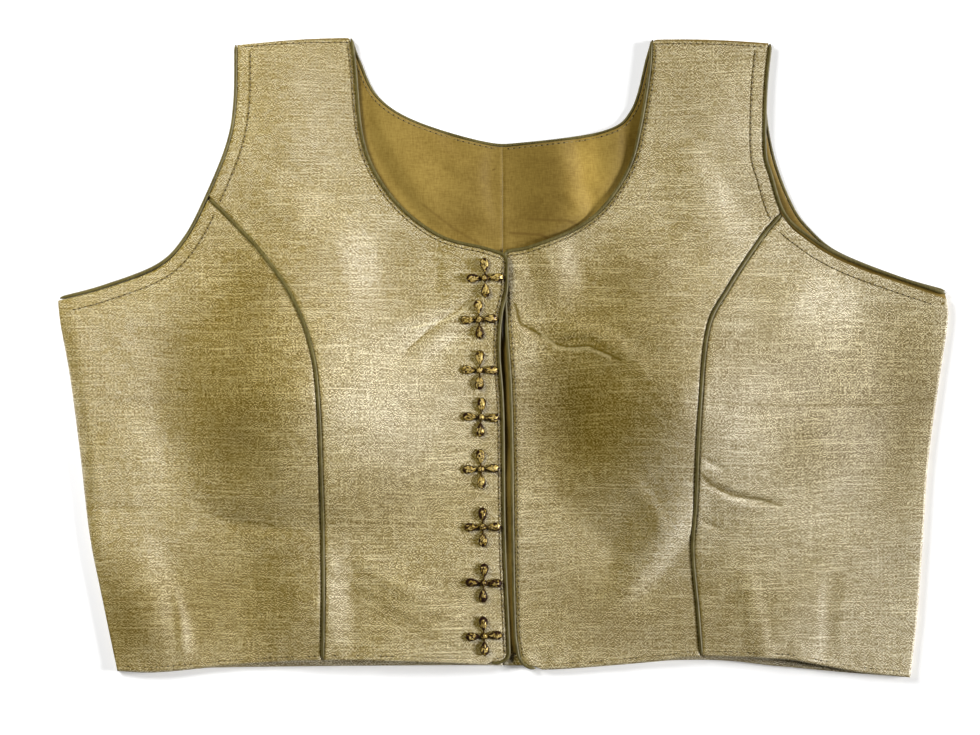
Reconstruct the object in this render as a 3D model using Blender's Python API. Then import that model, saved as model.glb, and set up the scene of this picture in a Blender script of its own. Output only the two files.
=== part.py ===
"""A sleeveless choli blouse laid flat on its back, front up.

Every size is in millimetres until a point goes into a mesh. X runs to the picture's right, Y to its top
and Z up from the surface that the blouse lies on. Right and left are the wearer's, so the right front
is at -X. Outlines are smooth curves through the few points of a table, and one height function gives the
form of both fronts, so that panels, piping and brooches all follow the same cloth.
"""

import math

import bpy
import numpy as np
from mathutils import Matrix, Vector

MM = 0.001

# Walls and layers, from the surface upwards
BACK_WALL = 1.0
LINING_WALL = 1.0
FRONT_WALL = 1.2
SEAM_GAP = 0.3
LINING_LOW = BACK_WALL + SEAM_GAP
FRONT_LOW = LINING_LOW + LINING_WALL + SEAM_GAP
FRONT_MID = FRONT_LOW + FRONT_WALL / 2

# Piping is a corded bias strip that stands in a seam or finishes an edge
PIPING_RADIUS = 1.05
PIPING_INSET = PIPING_RADIUS + SEAM_GAP + 0.25
PIPING_LIFT = 0.35
BACK_PIPING_MID = PIPING_RADIUS + 0.1

# How finely curves are followed: working curves, piping, flat outlines and rounded corners
CURVE_STEP = 2.0
PIPING_STEP = 8.0
FLAT_STEP = 7.0
SPAN_POINTS = 24
CORNER_POINTS = 5
QUARTER_TURN = 0.39
SHOULDER_POINTS = 9

# Edges that carry no piping, and the room left where piping ends
SHOULDER_CROWN = 1.0
SHOULDER_SETBACK = 1.4
HEM_TURN = 6.0
CENTRE_GAP = SEAM_GAP / 2
SEAM_START = 2 * PIPING_INSET
CORNER_START = 4 * PIPING_INSET

# Centre lines of the piped edges, and outer lines of the side seams and hems: columns x, y
ARMHOLE_RIGHT = ((-146.5, 171.5), (-147.0, 140.0), (-151.0, 117.0), (-162.5, 88.5), (-174.5, 65.5),
                 (-189.5, 50.5), (-219.0, 39.0), (-243.0, 32.5))
ARMHOLE_FRONT_LEFT = ((147.0, 171.5), (144.5, 146.5), (144.0, 114.0), (147.5, 99.5), (154.0, 80.0),
                      (165.0, 68.5), (189.5, 54.0), (243.0, 35.0))
ARMHOLE_BACK_LEFT = ((147.0, 172.5), (144.0, 141.5), (148.5, 110.5), (158.5, 84.0), (168.0, 70.5),
                     (184.0, 57.5), (217.5, 44.0), (243.0, 36.5))
NECK_BACK = ((-83.5, 175.5), (-79.0, 163.0), (-69.0, 143.0), (-48.5, 129.5), (-10.5, 118.0),
             (12.0, 117.5), (56.0, 124.0), (71.5, 136.5), (79.5, 164.5), (82.5, 174.5))
NECK_FRONT_RIGHT = ((-83.0, 174.5), (-81.0, 159.5), (-77.5, 123.0), (-69.5, 100.5), (-54.0, 80.5),
                    (-33.0, 66.0), (-10.5, 60.0), (-1.0, 57.0))
NECK_FRONT_LEFT = ((81.5, 173.5), (80.5, 157.5), (76.0, 129.0), (69.5, 104.5), (55.5, 83.0),
                   (39.5, 70.5), (16.0, 61.0), (3.5, 58.5))
CENTRE_RIGHT = ((2.5, 51.0), (2.0, 37.0), (-1.0, 22.5), (-2.0, 1.5), (0.0, -30.0), (0.8, -96.0),
                (2.8, -146.5), (3.5, -162.0))
CENTRE_LEFT = ((0.6, 54.0), (1.2, 37.0), (2.5, 10.0), (4.2, -14.5), (5.0, -45.5), (5.5, -96.0),
               (6.5, -146.5), (8.0, -161.0))
PRINCESS_RIGHT = ((-162.5, 88.5), (-149.5, 76.0), (-130.5, 55.5), (-114.5, 32.5), (-103.5, 5.0),
                  (-99.5, -25.0), (-98.5, -66.5), (-98.0, -128.0), (-98.5, -166.0))
PRINCESS_LEFT = ((154.0, 80.0), (141.5, 65.0), (123.0, 37.5), (111.5, 15.5), (106.5, -26.5),
                 (105.0, -78.5), (104.0, -105.0), (107.0, -138.0), (109.0, -164.0))
SIDE_RIGHT = ((-244.0, 31.0), (-242.5, 18.0), (-237.0, -12.0), (-231.5, -53.5), (-226.5, -97.5),
              (-219.5, -133.5), (-211.5, -172.0))
SIDE_LEFT = ((243.6, 32.0), (244.2, 20.0), (239.5, -12.5), (233.5, -56.5), (230.5, -100.5),
             (227.5, -141.5), (223.5, -175.5))
HEM_FRONT_RIGHT = ((-211.5, -172.0), (-188.5, -172.5), (-142.0, -168.5), (-94.0, -166.0),
                   (-52.5, -166.5), (-6.0, -168.5))
HEM_FRONT_LEFT = ((18.0, -171.5), (45.0, -170.0), (86.0, -166.5), (108.0, -164.0), (151.5, -165.0),
                  (173.5, -168.5), (195.0, -172.5), (223.5, -175.5))
HEM_BACK = ((-211.5, -172.0), (-142.5, -170.0), (-32.5, -169.0), (31.5, -169.0), (108.5, -166.0),
            (151.5, -169.5), (195.0, -173.5), (223.5, -175.5))

# Swells of the front: columns x, y, reach left, right, up and down, height
SWELLS = (
    (-108, -20, 84, 106, 118, 116, 29.5),
    (98, -22, 84, 128, 112, 112, 29.0),
    (-4, -8, 54, 40, 135, 160, 3.0),
    (2, 50, 44, 44, 34, 44, 3.2),
    (-62, -176, 84, 90, 190, 44, 6.5),
    (152, -176, 80, 76, 200, 44, 6.0),
    (-116, 124, 40, 40, 70, 60, 2.0),
    (114, 124, 40, 40, 70, 60, 2.0),
    (-196, -40, 34, 34, 80, 60, 2.6),
    (60, -110, 40, 40, 44, 50, -1.6),
    (-148, 36, 30, 28, 34, 40, -3.4),
    (-140, -50, 26, 24, 34, 36, -2.2),
    (44, -30, 24, 26, 34, 40, -3.5),
    (160, 30, 30, 40, 30, 40, 2.5),
    (176, -50, 34, 40, 30, 30, 2.5),
)
SWELL_POINT = 1.6

# Folds of the front: columns start x, y, end x, y, width on the walker's left and right, height
FOLDS = (
    (-237, 44, -221, -128, 44, 15, 4.0),
    (-214, -92, -184, -184, 22, 28, 5.2),
    (-104, -92, -102, -180, 22, 44, 6.0),
    (108, -70, 52, -146, 13, 24, 4.8),
    (-104, -100, -10, -160, 16, 12, 1.6),
    (-72, 76, -56, 18, 24, 22, -3.6),
    (22, 80, 36, 20, 16, 15, 3.0),
    (10, 26, 92, -22, 14, 9, 2.8),
    (90, 118, 132, 50, 17, 26, 2.6),
    (-234, -86, -84, -90, 14, 14, -1.6),
    (-4, 44, -70, 8, 14, 12, 1.5),
    (-150, 96, -92, 64, 18, 20, 2.4),
)
FOLD_ENDS = 1.6
SETTLE = 0.8
SIDE_ROLL = 8.0
SHOULDER_TOP = 177.0
SHOULDER_ROLL = 22.0
LAP_DROP = 2.8
LAP_REACH = 36.0
LAP_FADE = (4.0, 26.0)

# Rows and columns of each panel's grid, and how the columns crowd towards its outer edge
CENTRE_GRID = (27, 14, 1.0)
SIDE_GRID = (21, 12, 1.35)

# Brooches on the right front's edge: columns x, y; then their form, and how the cloth below is felt
BROOCHES = ((-9.7, 43.6), (-13.0, 20.9), (-12.7, -6.9), (-12.0, -32.7), (-12.0, -61.0), (-11.0, -92.9),
            (-10.5, -123.5), (-10.4, -152.5))
PETAL_REACH = 10.1
PETAL_SLIMNESS = 1.2
STONE_RADIUS = 2.4
BROOCH_RIM = 0.9
BROOCH_SHOULDER = 2.5
SHOULDER_SHARE = 0.55
BROOCH_HEIGHT = 3.1
BROOCH_SIDES = 32
SLOPE_STEP = 6.0
FEELER_RINGS = (0.5, 0.75, 1.0)
FEELERS = 16


def clear_scene():
    for thing in list(bpy.data.objects):
        bpy.data.objects.remove(thing)


def travelled(points):
    """Distance along a polyline to each of its points."""
    steps = np.linalg.norm(np.diff(points, axis=0), axis=1)
    return np.concatenate(([0.0], np.cumsum(steps)))


def at_fractions(points, fractions):
    """Points of a polyline at the given fractions of its length."""
    distance = travelled(points)
    where = np.asarray(fractions) * distance[-1]
    return np.stack([np.interp(where, distance, column) for column in points.T], axis=1)


def resample(points, count):
    return at_fractions(points, np.linspace(0, 1, count))


def curve(table, step=CURVE_STEP):
    """A Catmull-Rom curve through a table's points, as evenly spaced points about one step apart."""
    knots = np.asarray(table, float)
    knots = np.vstack((2 * knots[0] - knots[1], knots, 2 * knots[-1] - knots[-2]))
    t = np.linspace(0, 1, SPAN_POINTS, endpoint=False)[:, None]
    spans = []
    for before, start, end, after in zip(knots, knots[1:], knots[2:], knots[3:]):
        spans.append(0.5 * (2 * start + (end - before) * t
                            + (2 * before - 5 * start + 4 * end - after) * t ** 2
                            + (3 * start - before - 3 * end + after) * t ** 3))
    dense = np.vstack(spans + [knots[-2]])
    return spaced(dense, step)


def spaced(path, step):
    """A path's points, evenly spaced about one step apart."""
    return resample(path, max(2, round(travelled(path)[-1] / step) + 1))


def moved_left(points, distance):
    """A curve moved sideways, to the left of the way it runs."""
    along = np.gradient(points, axis=0)
    along /= np.linalg.norm(along, axis=1)[:, None]
    return points + distance * np.stack([-along[:, 1], along[:, 0]], axis=1)


def trimmed(points, from_start, from_end):
    """A curve without its first and last millimetres."""
    length = travelled(points)[-1]
    return at_fractions(points, np.linspace(from_start / length, 1 - from_end / length, len(points)))


def split_at(points, target):
    """The two runs of a curve, before and after its point nearest the target."""
    nearest = int(np.argmin(np.linalg.norm(points - np.asarray(target), axis=1)))
    return points[:nearest + 1], points[nearest:]


def rounded(before, after):
    """Points of a quarter turn that joins the end of one run to the start of the next."""
    start = before[-1]
    end = after[0]
    ahead = before[-1] - before[-2]
    back = after[0] - after[1]
    reach = QUARTER_TURN * np.linalg.norm(end - start)
    first = start + reach * ahead / np.linalg.norm(ahead)
    second = end + reach * back / np.linalg.norm(back)
    t = np.linspace(0, 1, CORNER_POINTS + 2)[1:-1, None]
    return ((1 - t) ** 3 * start + 3 * (1 - t) ** 2 * t * first
            + 3 * (1 - t) * t ** 2 * second + t ** 3 * end)


def shoulder_line(start, end):
    """A nearly straight edge that swells upwards by its crown."""
    t = np.linspace(0, 1, SHOULDER_POINTS)[:, None]
    line = (1 - t) * start + t * end
    return line + np.hstack((0 * t, 4 * SHOULDER_CROWN * t * (1 - t)))


def smooth_step(value):
    value = np.clip(value, 0, 1)
    return value * value * (3 - 2 * value)


def swell(x, y, row):
    """One dome with its own reach on each of four sides."""
    centre_x, centre_y, left, right, up, down, height = row
    across = (x - centre_x) / np.where(x < centre_x, left, right)
    along = (y - centre_y) / np.where(y > centre_y, up, down)
    reach = np.sqrt(across ** 2 + along ** 2)
    return height * np.clip(1 - reach ** SWELL_POINT, 0, 1) ** 2


def fold(x, y, row):
    """One ridge, or a trough where its height is negative, that fades out at both ends."""
    start_x, start_y, end_x, end_y, left, right, height = row
    length = math.hypot(end_x - start_x, end_y - start_y)
    along_x, along_y = (end_x - start_x) / length, (end_y - start_y) / length
    travel = np.clip(((x - start_x) * along_x + (y - start_y) * along_y) / length, 0, 1)
    beside = (y - start_y) * along_x - (x - start_x) * along_y
    across = beside / np.where(beside > 0, left, right)
    ends = (4 * travel * (1 - travel)) ** FOLD_ENDS
    return height * ends * np.clip(1 - across ** 2, 0, 1) ** 2


def side_room(x, y):
    """Distance in from the nearer side seam."""
    right = curve(SIDE_RIGHT)
    left = curve(SIDE_LEFT)
    from_right = x - np.interp(-y, -right[:, 1], right[:, 0])
    from_left = np.interp(-y, -left[:, 1], left[:, 0]) - x
    return np.where(x < 0, from_right, from_left)


def front_height(x, y, side):
    """Rise of the front above its seams: swells and folds, down to nothing at sides and shoulders."""
    x = np.asarray(x, float)
    y = np.asarray(y, float)
    rise = sum(swell(x, y, row) for row in SWELLS) + sum(fold(x, y, row) for row in FOLDS)
    rise = 0.5 * (rise + np.sqrt(rise ** 2 + SETTLE ** 2))
    rise = rise * np.sqrt(smooth_step(side_room(x, y) / SIDE_ROLL))
    rise = rise * smooth_step((SHOULDER_TOP - y) / SHOULDER_ROLL)
    if side == "left":
        low, high = LAP_FADE
        lap = smooth_step((y - low) / (high - low)) * smooth_step(1 - x / LAP_REACH)
        rise = np.maximum(rise - LAP_DROP * lap, 0)
    return rise


def patch(outer, inner, top, bottom, rows, columns, crowding):
    """A Coons patch: a grid blended from its four edges, rows from top to bottom, columns going in."""
    v = np.linspace(0, 1, rows)[:, None, None]
    across = np.linspace(0, 1, columns) ** crowding
    u = across[None, :, None]
    outer = resample(outer, rows)[:, None]
    inner = resample(inner, rows)[:, None]
    top = at_fractions(top, across)[None]
    bottom = at_fractions(bottom, across)[None]
    top = top + (1 - u) * (outer[:1] - top[:, :1]) + u * (inner[:1] - top[:, -1:])
    bottom = bottom + (1 - u) * (outer[-1:] - bottom[:, :1]) + u * (inner[-1:] - bottom[:, -1:])
    corners = (1 - v) * ((1 - u) * outer[:1] + u * inner[:1]) + v * ((1 - u) * outer[-1:] + u * inner[-1:])
    return (1 - u) * outer + u * inner + (1 - v) * top + v * bottom - corners


def make_material(name, colour, roughness, metallic=0.0):
    material = bpy.data.materials.new(name)
    material.use_nodes = True
    shader = material.node_tree.nodes["Principled BSDF"]
    shader.inputs["Base Color"].default_value = (*colour, 1.0)
    shader.inputs["Roughness"].default_value = roughness
    shader.inputs["Metallic"].default_value = metallic
    material.diffuse_color = (*colour, 1.0)
    return material


def add_object(name, data, material):
    if not data.materials:
        data.materials.append(material)
    thing = bpy.data.objects.new(name, data)
    bpy.context.scene.collection.objects.link(thing)
    return thing


def add_wall(name, points, faces, wall, material):
    """A sheet given its wall thickness, half to each side."""
    mesh = bpy.data.meshes.new(name)
    mesh.from_pydata([tuple(point * MM) for point in points], [], faces)
    mesh.update()
    mesh.shade_smooth()
    thing = add_object(name, mesh, material)
    solid = thing.modifiers.new("wall", "SOLIDIFY")
    solid.thickness = wall * MM
    solid.offset = 0.0
    return thing


def add_front(name, side, edges, grid, material):
    """One front panel: a grid in plan, raised by the height of the cloth."""
    rows, columns, crowding = grid
    plan = patch(*edges, rows, columns, crowding)
    if side == "left":
        plan = plan[:, ::-1]
    height = FRONT_MID + front_height(plan[..., 0], plan[..., 1], side)
    points = np.dstack((plan, height)).reshape(-1, 3)
    index = np.arange(rows * columns).reshape(rows, columns)
    faces = np.stack((index[:-1, :-1], index[1:, :-1], index[1:, 1:], index[:-1, 1:]), axis=-1)
    return add_wall(name, points, faces.reshape(-1, 4).tolist(), FRONT_WALL, material)


def add_flat(name, outline, low, wall, material):
    """One flat panel, turned so that its face points up."""
    ahead = np.roll(outline, -1, axis=0)
    if np.sum(outline[:, 0] * ahead[:, 1] - ahead[:, 0] * outline[:, 1]) < 0:
        outline = outline[::-1]
    height = np.full((len(outline), 1), low + wall / 2)
    points = np.hstack((outline, height))
    return add_wall(name, points, [list(range(len(points)))], wall, material)


def add_piping(name, path, heights, material):
    """A corded strip along a path, six-sided, with its ends closed."""
    data = bpy.data.curves.new(name, "CURVE")
    data.dimensions = "3D"
    data.bevel_depth = PIPING_RADIUS * MM
    data.bevel_resolution = 1
    data.use_fill_caps = True
    spline = data.splines.new("POLY")
    spline.points.add(len(path) - 1)
    for point, place, height in zip(spline.points, path, heights):
        point.co = (place[0] * MM, place[1] * MM, height * MM, 1.0)
    return add_object(name, data, material)


def add_front_piping(name, side, path, material):
    heights = FRONT_MID + PIPING_LIFT + front_height(path[:, 0], path[:, 1], side)
    return add_piping(name, path, heights, material)


def add_back_piping(name, path, material):
    return add_piping(name, path, np.full(len(path), BACK_PIPING_MID), material)


def front_sides():
    """Each front's name, the sign of its x, and its edge curves from the top or the side seam on."""
    right = (ARMHOLE_RIGHT, NECK_FRONT_RIGHT, CENTRE_RIGHT, PRINCESS_RIGHT, SIDE_RIGHT, HEM_FRONT_RIGHT)
    left = (ARMHOLE_FRONT_LEFT, NECK_FRONT_LEFT, CENTRE_LEFT, PRINCESS_LEFT, SIDE_LEFT,
            HEM_FRONT_LEFT[::-1])
    yield "right", -1, [curve(table) for table in right]
    yield "left", 1, [curve(table) for table in left]


def add_fronts(cloth, piping):
    """Centre and side panels of each front, with the piping of their edges and seams."""
    for side, sign, (armhole, neck, centre, princess, seam, hem) in front_sides():
        turn_up = hem[::-1] + (0, PIPING_RADIUS)
        top_corner = rounded(neck, centre)
        low_corner = rounded(centre, turn_up)
        edge = np.vstack((neck, top_corner, centre, low_corner, turn_up[:1]))
        inner_edge = moved_left(edge, PIPING_INSET * sign)
        inner_edge, corner_end = split_at(inner_edge, low_corner[len(low_corner) // 2])
        inner_armhole = moved_left(armhole, -PIPING_INSET * sign)
        upper, lower = split_at(inner_armhole, princess[0])
        hem_side, hem_centre = split_at(hem, princess[-1])
        centre_seam = trimmed(moved_left(princess, -PIPING_INSET * sign), SEAM_START, 0)
        side_seam = trimmed(moved_left(princess, PIPING_INSET * sign), SEAM_START, 0)
        shoulder = shoulder_line(upper[0], inner_edge[0])

        centre_outer = np.vstack((upper[:-1], centre_seam))
        centre_hem = np.vstack((trimmed(hem_centre, 0, CORNER_START), corner_end[::-1]))
        add_front(f"front_centre_{side}", side, (centre_outer, inner_edge, shoulder, centre_hem),
                  CENTRE_GRID, cloth)
        add_front(f"front_side_{side}", side, (seam, side_seam, lower[::-1], hem_side), SIDE_GRID, cloth)

        corded = np.vstack((spaced(neck, PIPING_STEP), top_corner[1::2], spaced(centre, PIPING_STEP),
                            low_corner[1::2], turn_up[:1]))
        add_front_piping(f"piping_front_{side}", side, corded, piping)
        add_front_piping(f"piping_armhole_front_{side}", side, spaced(armhole, PIPING_STEP), piping)
        run = trimmed(princess, 2 * PIPING_RADIUS + SEAM_GAP, PIPING_RADIUS)
        add_front_piping(f"piping_princess_{side}", side, spaced(run, PIPING_STEP), piping)


def half(points, sign):
    """The run of a curve on one side of the centre back, from outside in."""
    kept = points[points[:, 0] * sign > 1.0]
    if sign > 0:
        kept = kept[::-1]
    middle = (sign * CENTRE_GAP, np.interp(sign * CENTRE_GAP, points[:, 0], points[:, 1]))
    return np.vstack((kept, middle))


def back_outline(sign, armhole, seam, hem_rise):
    """Half of the back in plan, its hem raised by the given amount."""
    neck = half(moved_left(curve(NECK_BACK, FLAT_STEP), -PIPING_INSET), sign)[::-1]
    armhole = moved_left(curve(armhole, FLAT_STEP), -PIPING_INSET * sign)
    top = (0, SHOULDER_SETBACK)
    shoulder = shoulder_line(neck[-1] + top, armhole[0] + top)
    seam = trimmed(curve(seam, 2 * FLAT_STEP), 0, hem_rise)
    hem = half(curve(HEM_BACK, FLAT_STEP), sign)[1:] + (0, hem_rise)
    return np.vstack((neck, shoulder, armhole, seam, hem))


def add_backs(cloth, lining, piping):
    sides = (("right", -1, ARMHOLE_RIGHT, SIDE_RIGHT), ("left", 1, ARMHOLE_BACK_LEFT, SIDE_LEFT))
    for side, sign, armhole, seam in sides:
        add_flat(f"back_{side}", back_outline(sign, armhole, seam, 0.0), 0.0, BACK_WALL, cloth)
        short = back_outline(sign, armhole, seam, HEM_TURN + SEAM_GAP)
        add_flat(f"back_lining_{side}", short, LINING_LOW, LINING_WALL, lining)
        hem = half(curve(HEM_BACK, FLAT_STEP), sign)
        strip = np.vstack((hem, hem[::-1] + (0, HEM_TURN)))
        add_flat(f"back_hem_{side}", strip, LINING_LOW, LINING_WALL, cloth)
        add_back_piping(f"piping_armhole_back_{side}", curve(armhole, PIPING_STEP), piping)
    add_back_piping("piping_neck_back", curve(NECK_BACK, PIPING_STEP), piping)


def brooch_mesh():
    """Four pear-shaped petals round one stone: a flat back, a rim, a shoulder and a crown."""
    angle = np.arange(BROOCH_SIDES) * 2 * math.pi / BROOCH_SIDES
    petal = PETAL_REACH * np.abs(np.cos(2 * angle)) ** PETAL_SLIMNESS
    reach = np.maximum(petal, STONE_RADIUS)
    rings = ((1.0, 0.0), (1.0, BROOCH_RIM), (SHOULDER_SHARE, BROOCH_SHOULDER))
    points = [(0.0, 0.0, 0.0)]
    for share, height in rings:
        ring = np.stack((share * reach * np.cos(angle), share * reach * np.sin(angle),
                         np.full(BROOCH_SIDES, height)), axis=1)
        points.extend(ring.tolist())
    points.append((0.0, 0.0, BROOCH_HEIGHT))
    last = len(points) - 1
    faces = []
    for near in range(BROOCH_SIDES):
        far = (near + 1) % BROOCH_SIDES
        faces.append((0, 1 + far, 1 + near))
        for ring in range(len(rings) - 1):
            low = 1 + ring * BROOCH_SIDES
            high = low + BROOCH_SIDES
            faces.append((low + near, low + far, high + far, high + near))
        top = last - BROOCH_SIDES
        faces.append((top + near, top + far, last))
    mesh = bpy.data.meshes.new("brooch")
    mesh.from_pydata([tuple(MM * value for value in point) for point in points], [], faces)
    mesh.update()
    mesh.shade_smooth()
    return mesh


def add_brooches(gilt):
    """The brooches lie on the cloth's own slope, just clear of it."""
    mesh = brooch_mesh()
    turn = np.arange(FEELERS) * 2 * math.pi / FEELERS
    for number, (x, y) in enumerate(BROOCHES, start=1):
        slope_x = front_height(x + SLOPE_STEP, y, "right") - front_height(x - SLOPE_STEP, y, "right")
        slope_y = front_height(x, y + SLOPE_STEP, "right") - front_height(x, y - SLOPE_STEP, "right")
        slope = np.array((slope_x, slope_y)) / (2 * SLOPE_STEP)
        centre = float(front_height(x, y, "right"))
        proud = 0.0
        for share in FEELER_RINGS:
            ring_x = share * PETAL_REACH * np.cos(turn)
            ring_y = share * PETAL_REACH * np.sin(turn)
            cloth = front_height(x + ring_x, y + ring_y, "right")
            plane = centre + slope[0] * ring_x + slope[1] * ring_y
            proud = max(proud, float(np.max(cloth - plane)))
        normal = Vector((-slope[0], -slope[1], 1.0)).normalized()
        place = Vector((x, y, FRONT_MID + centre)) + normal * (FRONT_WALL / 2 + SEAM_GAP + proud)
        tilt = Vector((0, 0, 1)).rotation_difference(normal)
        thing = add_object(f"brooch_{number}", mesh, gilt)
        thing.matrix_world = Matrix.Translation(place * MM) @ tilt.to_matrix().to_4x4()


def main():
    clear_scene()
    cloth = make_material("champagne silk", (0.50, 0.43, 0.22), 0.42)
    lining = make_material("golden cotton lining", (0.48, 0.31, 0.11), 0.75)
    piping = make_material("olive satin piping", (0.15, 0.13, 0.06), 0.38)
    gilt = make_material("crystal in gilt", (0.42, 0.33, 0.20), 0.22, 0.6)
    add_backs(cloth, lining, piping)
    add_fronts(cloth, piping)
    add_brooches(gilt)


main()
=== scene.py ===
"""Looks of a sleeveless choli blouse laid flat with its front up.

Slubbed champagne silk lies in swells and creases over a golden cotton lining. Every edge and princess seam
carries an olive satin piping, rows of topstitching follow the edges, and eight stone brooches close the
front. Sizes are in millimetres until a point goes into a mesh: X to the picture's right, Y to its top,
Z up from the floor. Right and left are the wearer's, so the right front is at -X.
"""

import math

import bpy
import numpy as np
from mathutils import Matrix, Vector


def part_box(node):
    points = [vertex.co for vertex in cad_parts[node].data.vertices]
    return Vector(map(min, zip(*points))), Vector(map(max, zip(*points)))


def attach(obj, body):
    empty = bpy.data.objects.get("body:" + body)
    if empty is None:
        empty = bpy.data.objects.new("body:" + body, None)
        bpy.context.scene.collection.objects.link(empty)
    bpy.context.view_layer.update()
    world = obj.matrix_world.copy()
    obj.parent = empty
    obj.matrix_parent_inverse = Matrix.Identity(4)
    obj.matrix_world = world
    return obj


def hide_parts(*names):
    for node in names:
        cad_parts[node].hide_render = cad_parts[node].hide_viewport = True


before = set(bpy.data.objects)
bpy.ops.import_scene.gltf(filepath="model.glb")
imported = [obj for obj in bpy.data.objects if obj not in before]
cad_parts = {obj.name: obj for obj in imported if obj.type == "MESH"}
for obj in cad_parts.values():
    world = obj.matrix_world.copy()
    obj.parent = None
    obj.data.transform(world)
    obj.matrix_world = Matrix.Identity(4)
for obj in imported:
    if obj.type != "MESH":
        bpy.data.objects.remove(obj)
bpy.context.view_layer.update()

MM = 0.001
BODY = "root"

# Walls and layers, from the floor upwards
BACK_WALL = 1.0
LINING_LOW = 1.3
LINING_WALL = 1.0
FRONT_WALL = 1.1
FRONT_MID = 3.2

# Piping, and how far the cloth stands back from its centre line
PIPING_RADIUS = 0.9
BACK_PIPING_RADIUS = 0.85
PIPING_INSET = 1.0
PIPING_LIFT = 0.35
BACK_PIPING_MID = 1.15
PIPING_STEP = 1.2
PIPING_SIDES = 12

# Rows of topstitching: pitch, thread, and distance in from the cloth's edge
STITCH_PITCH = 3.1
STITCH_LENGTH = 2.35
THREAD_RADIUS = 0.2
EDGE_ROW = 1.6
ARMHOLE_ROW = 7.0
NECK_BACK_ROW = 1.1
SHOULDER_ROW = 1.5
HEM_ROW = 2.9
THREAD_PROUD = 0.10
LINING_THREAD_PROUD = 0.02

# Edges that carry no piping, and the room left where piping ends
SHOULDER_CROWN = 1.0
SHOULDER_SETBACK = 1.4
LINING_SETBACK = 0.9
HEM_TURN = 6.0
LINING_OVER_HEM = 0.3
NECK_ROW_STOP = 3.0
CENTRE_GAP = 0.04
PRINCESS_CLEAR = 0.3
SEAM_START = 2 * PIPING_INSET
CORNER_START = 4 * PIPING_INSET

# How finely curves are followed
CURVE_STEP = 1.0
SPAN_POINTS = 24
NEAREST_STEP = 0.8
NEAREST_RUN = 40
CORNER_POINTS = 9
QUARTER_TURN = 0.39
SHOULDER_POINTS = 9
CENTRE_GRID = (260, 110)
SIDE_GRID = (180, 105)
BACK_GRID = (150, 90)
HEM_COLUMNS = 9

# Centre lines of the piped edges, and outer lines of the side seams and hems: columns x, y
ARMHOLE_RIGHT = ((-146.5, 171.5), (-147.0, 140.0), (-151.0, 117.0), (-162.5, 88.5), (-174.5, 65.5),
                 (-189.5, 50.5), (-219.0, 39.0), (-243.0, 32.5))
ARMHOLE_FRONT_LEFT = ((147.0, 171.5), (144.5, 146.5), (144.0, 114.0), (147.5, 99.5), (154.0, 80.0),
                      (165.0, 68.5), (189.5, 54.0), (243.0, 35.0))
ARMHOLE_BACK_LEFT = ((147.0, 172.5), (144.0, 141.5), (148.5, 110.5), (158.5, 84.0), (168.0, 70.5),
                     (184.0, 57.5), (217.5, 44.0), (243.0, 36.5))
NECK_BACK = ((-83.5, 175.5), (-79.0, 163.0), (-69.0, 143.0), (-48.5, 129.5), (-10.5, 118.0),
             (12.0, 117.5), (56.0, 124.0), (71.5, 136.5), (79.5, 164.5), (82.5, 174.5))
NECK_FRONT_RIGHT = ((-83.0, 174.5), (-81.0, 159.5), (-77.5, 123.0), (-69.5, 100.5), (-54.0, 80.5),
                    (-33.0, 66.0), (-10.5, 60.0), (-1.0, 57.0))
NECK_FRONT_LEFT = ((81.5, 173.5), (80.5, 157.5), (76.0, 129.0), (69.5, 104.5), (55.5, 83.0),
                   (39.5, 70.5), (16.0, 61.0), (3.5, 58.5))
CENTRE_RIGHT = ((2.5, 51.0), (2.0, 37.0), (-1.0, 22.5), (-2.0, 1.5), (0.0, -30.0), (0.8, -96.0),
                (2.8, -146.5), (3.5, -162.0))
CENTRE_LEFT = ((0.6, 54.0), (1.2, 37.0), (2.5, 10.0), (4.2, -14.5), (5.0, -45.5), (5.5, -96.0),
               (6.5, -146.5), (8.0, -161.0))
PRINCESS_RIGHT = ((-162.5, 88.5), (-149.5, 76.0), (-130.5, 55.5), (-114.5, 32.5), (-103.5, 5.0),
                  (-99.5, -25.0), (-98.5, -66.5), (-98.0, -128.0), (-98.5, -166.0))
PRINCESS_LEFT = ((154.0, 80.0), (141.5, 65.0), (123.0, 37.5), (111.5, 15.5), (106.5, -26.5),
                 (105.0, -78.5), (104.0, -105.0), (107.0, -138.0), (109.0, -164.0))
SIDE_RIGHT = ((-244.0, 31.0), (-242.5, 18.0), (-237.0, -12.0), (-231.5, -53.5), (-226.5, -97.5),
              (-219.5, -133.5), (-211.5, -172.0))
SIDE_LEFT = ((243.6, 32.0), (244.2, 20.0), (239.5, -12.5), (233.5, -56.5), (230.5, -100.5),
             (227.5, -141.5), (223.5, -175.5))
HEM_FRONT_RIGHT = ((-211.5, -172.0), (-188.5, -172.5), (-142.0, -168.5), (-94.0, -166.0),
                   (-52.5, -166.5), (-6.0, -168.5))
HEM_FRONT_LEFT = ((18.0, -171.5), (45.0, -170.0), (86.0, -166.5), (108.0, -164.0), (151.5, -165.0),
                  (173.5, -168.5), (195.0, -172.5), (223.5, -175.5))
HEM_BACK = ((-211.5, -172.0), (-142.5, -170.0), (-32.5, -169.0), (31.5, -169.0), (108.5, -166.0),
            (151.5, -169.5), (195.0, -173.5), (223.5, -175.5))

# Swells of the front: columns x, y, reach left, right, up and down, height
SWELLS = (
    (-108, -20, 84, 106, 118, 116, 29.5),
    (98, -22, 84, 128, 112, 112, 29.0),
    (-4, -8, 54, 40, 135, 160, 3.0),
    (2, 50, 44, 44, 34, 44, 3.2),
    (-62, -176, 84, 90, 190, 44, 6.5),
    (152, -176, 80, 76, 200, 44, 6.0),
    (-116, 124, 40, 40, 70, 60, 2.0),
    (114, 124, 40, 40, 70, 60, 2.0),
)
SWELL_POINT = 1.6

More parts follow.
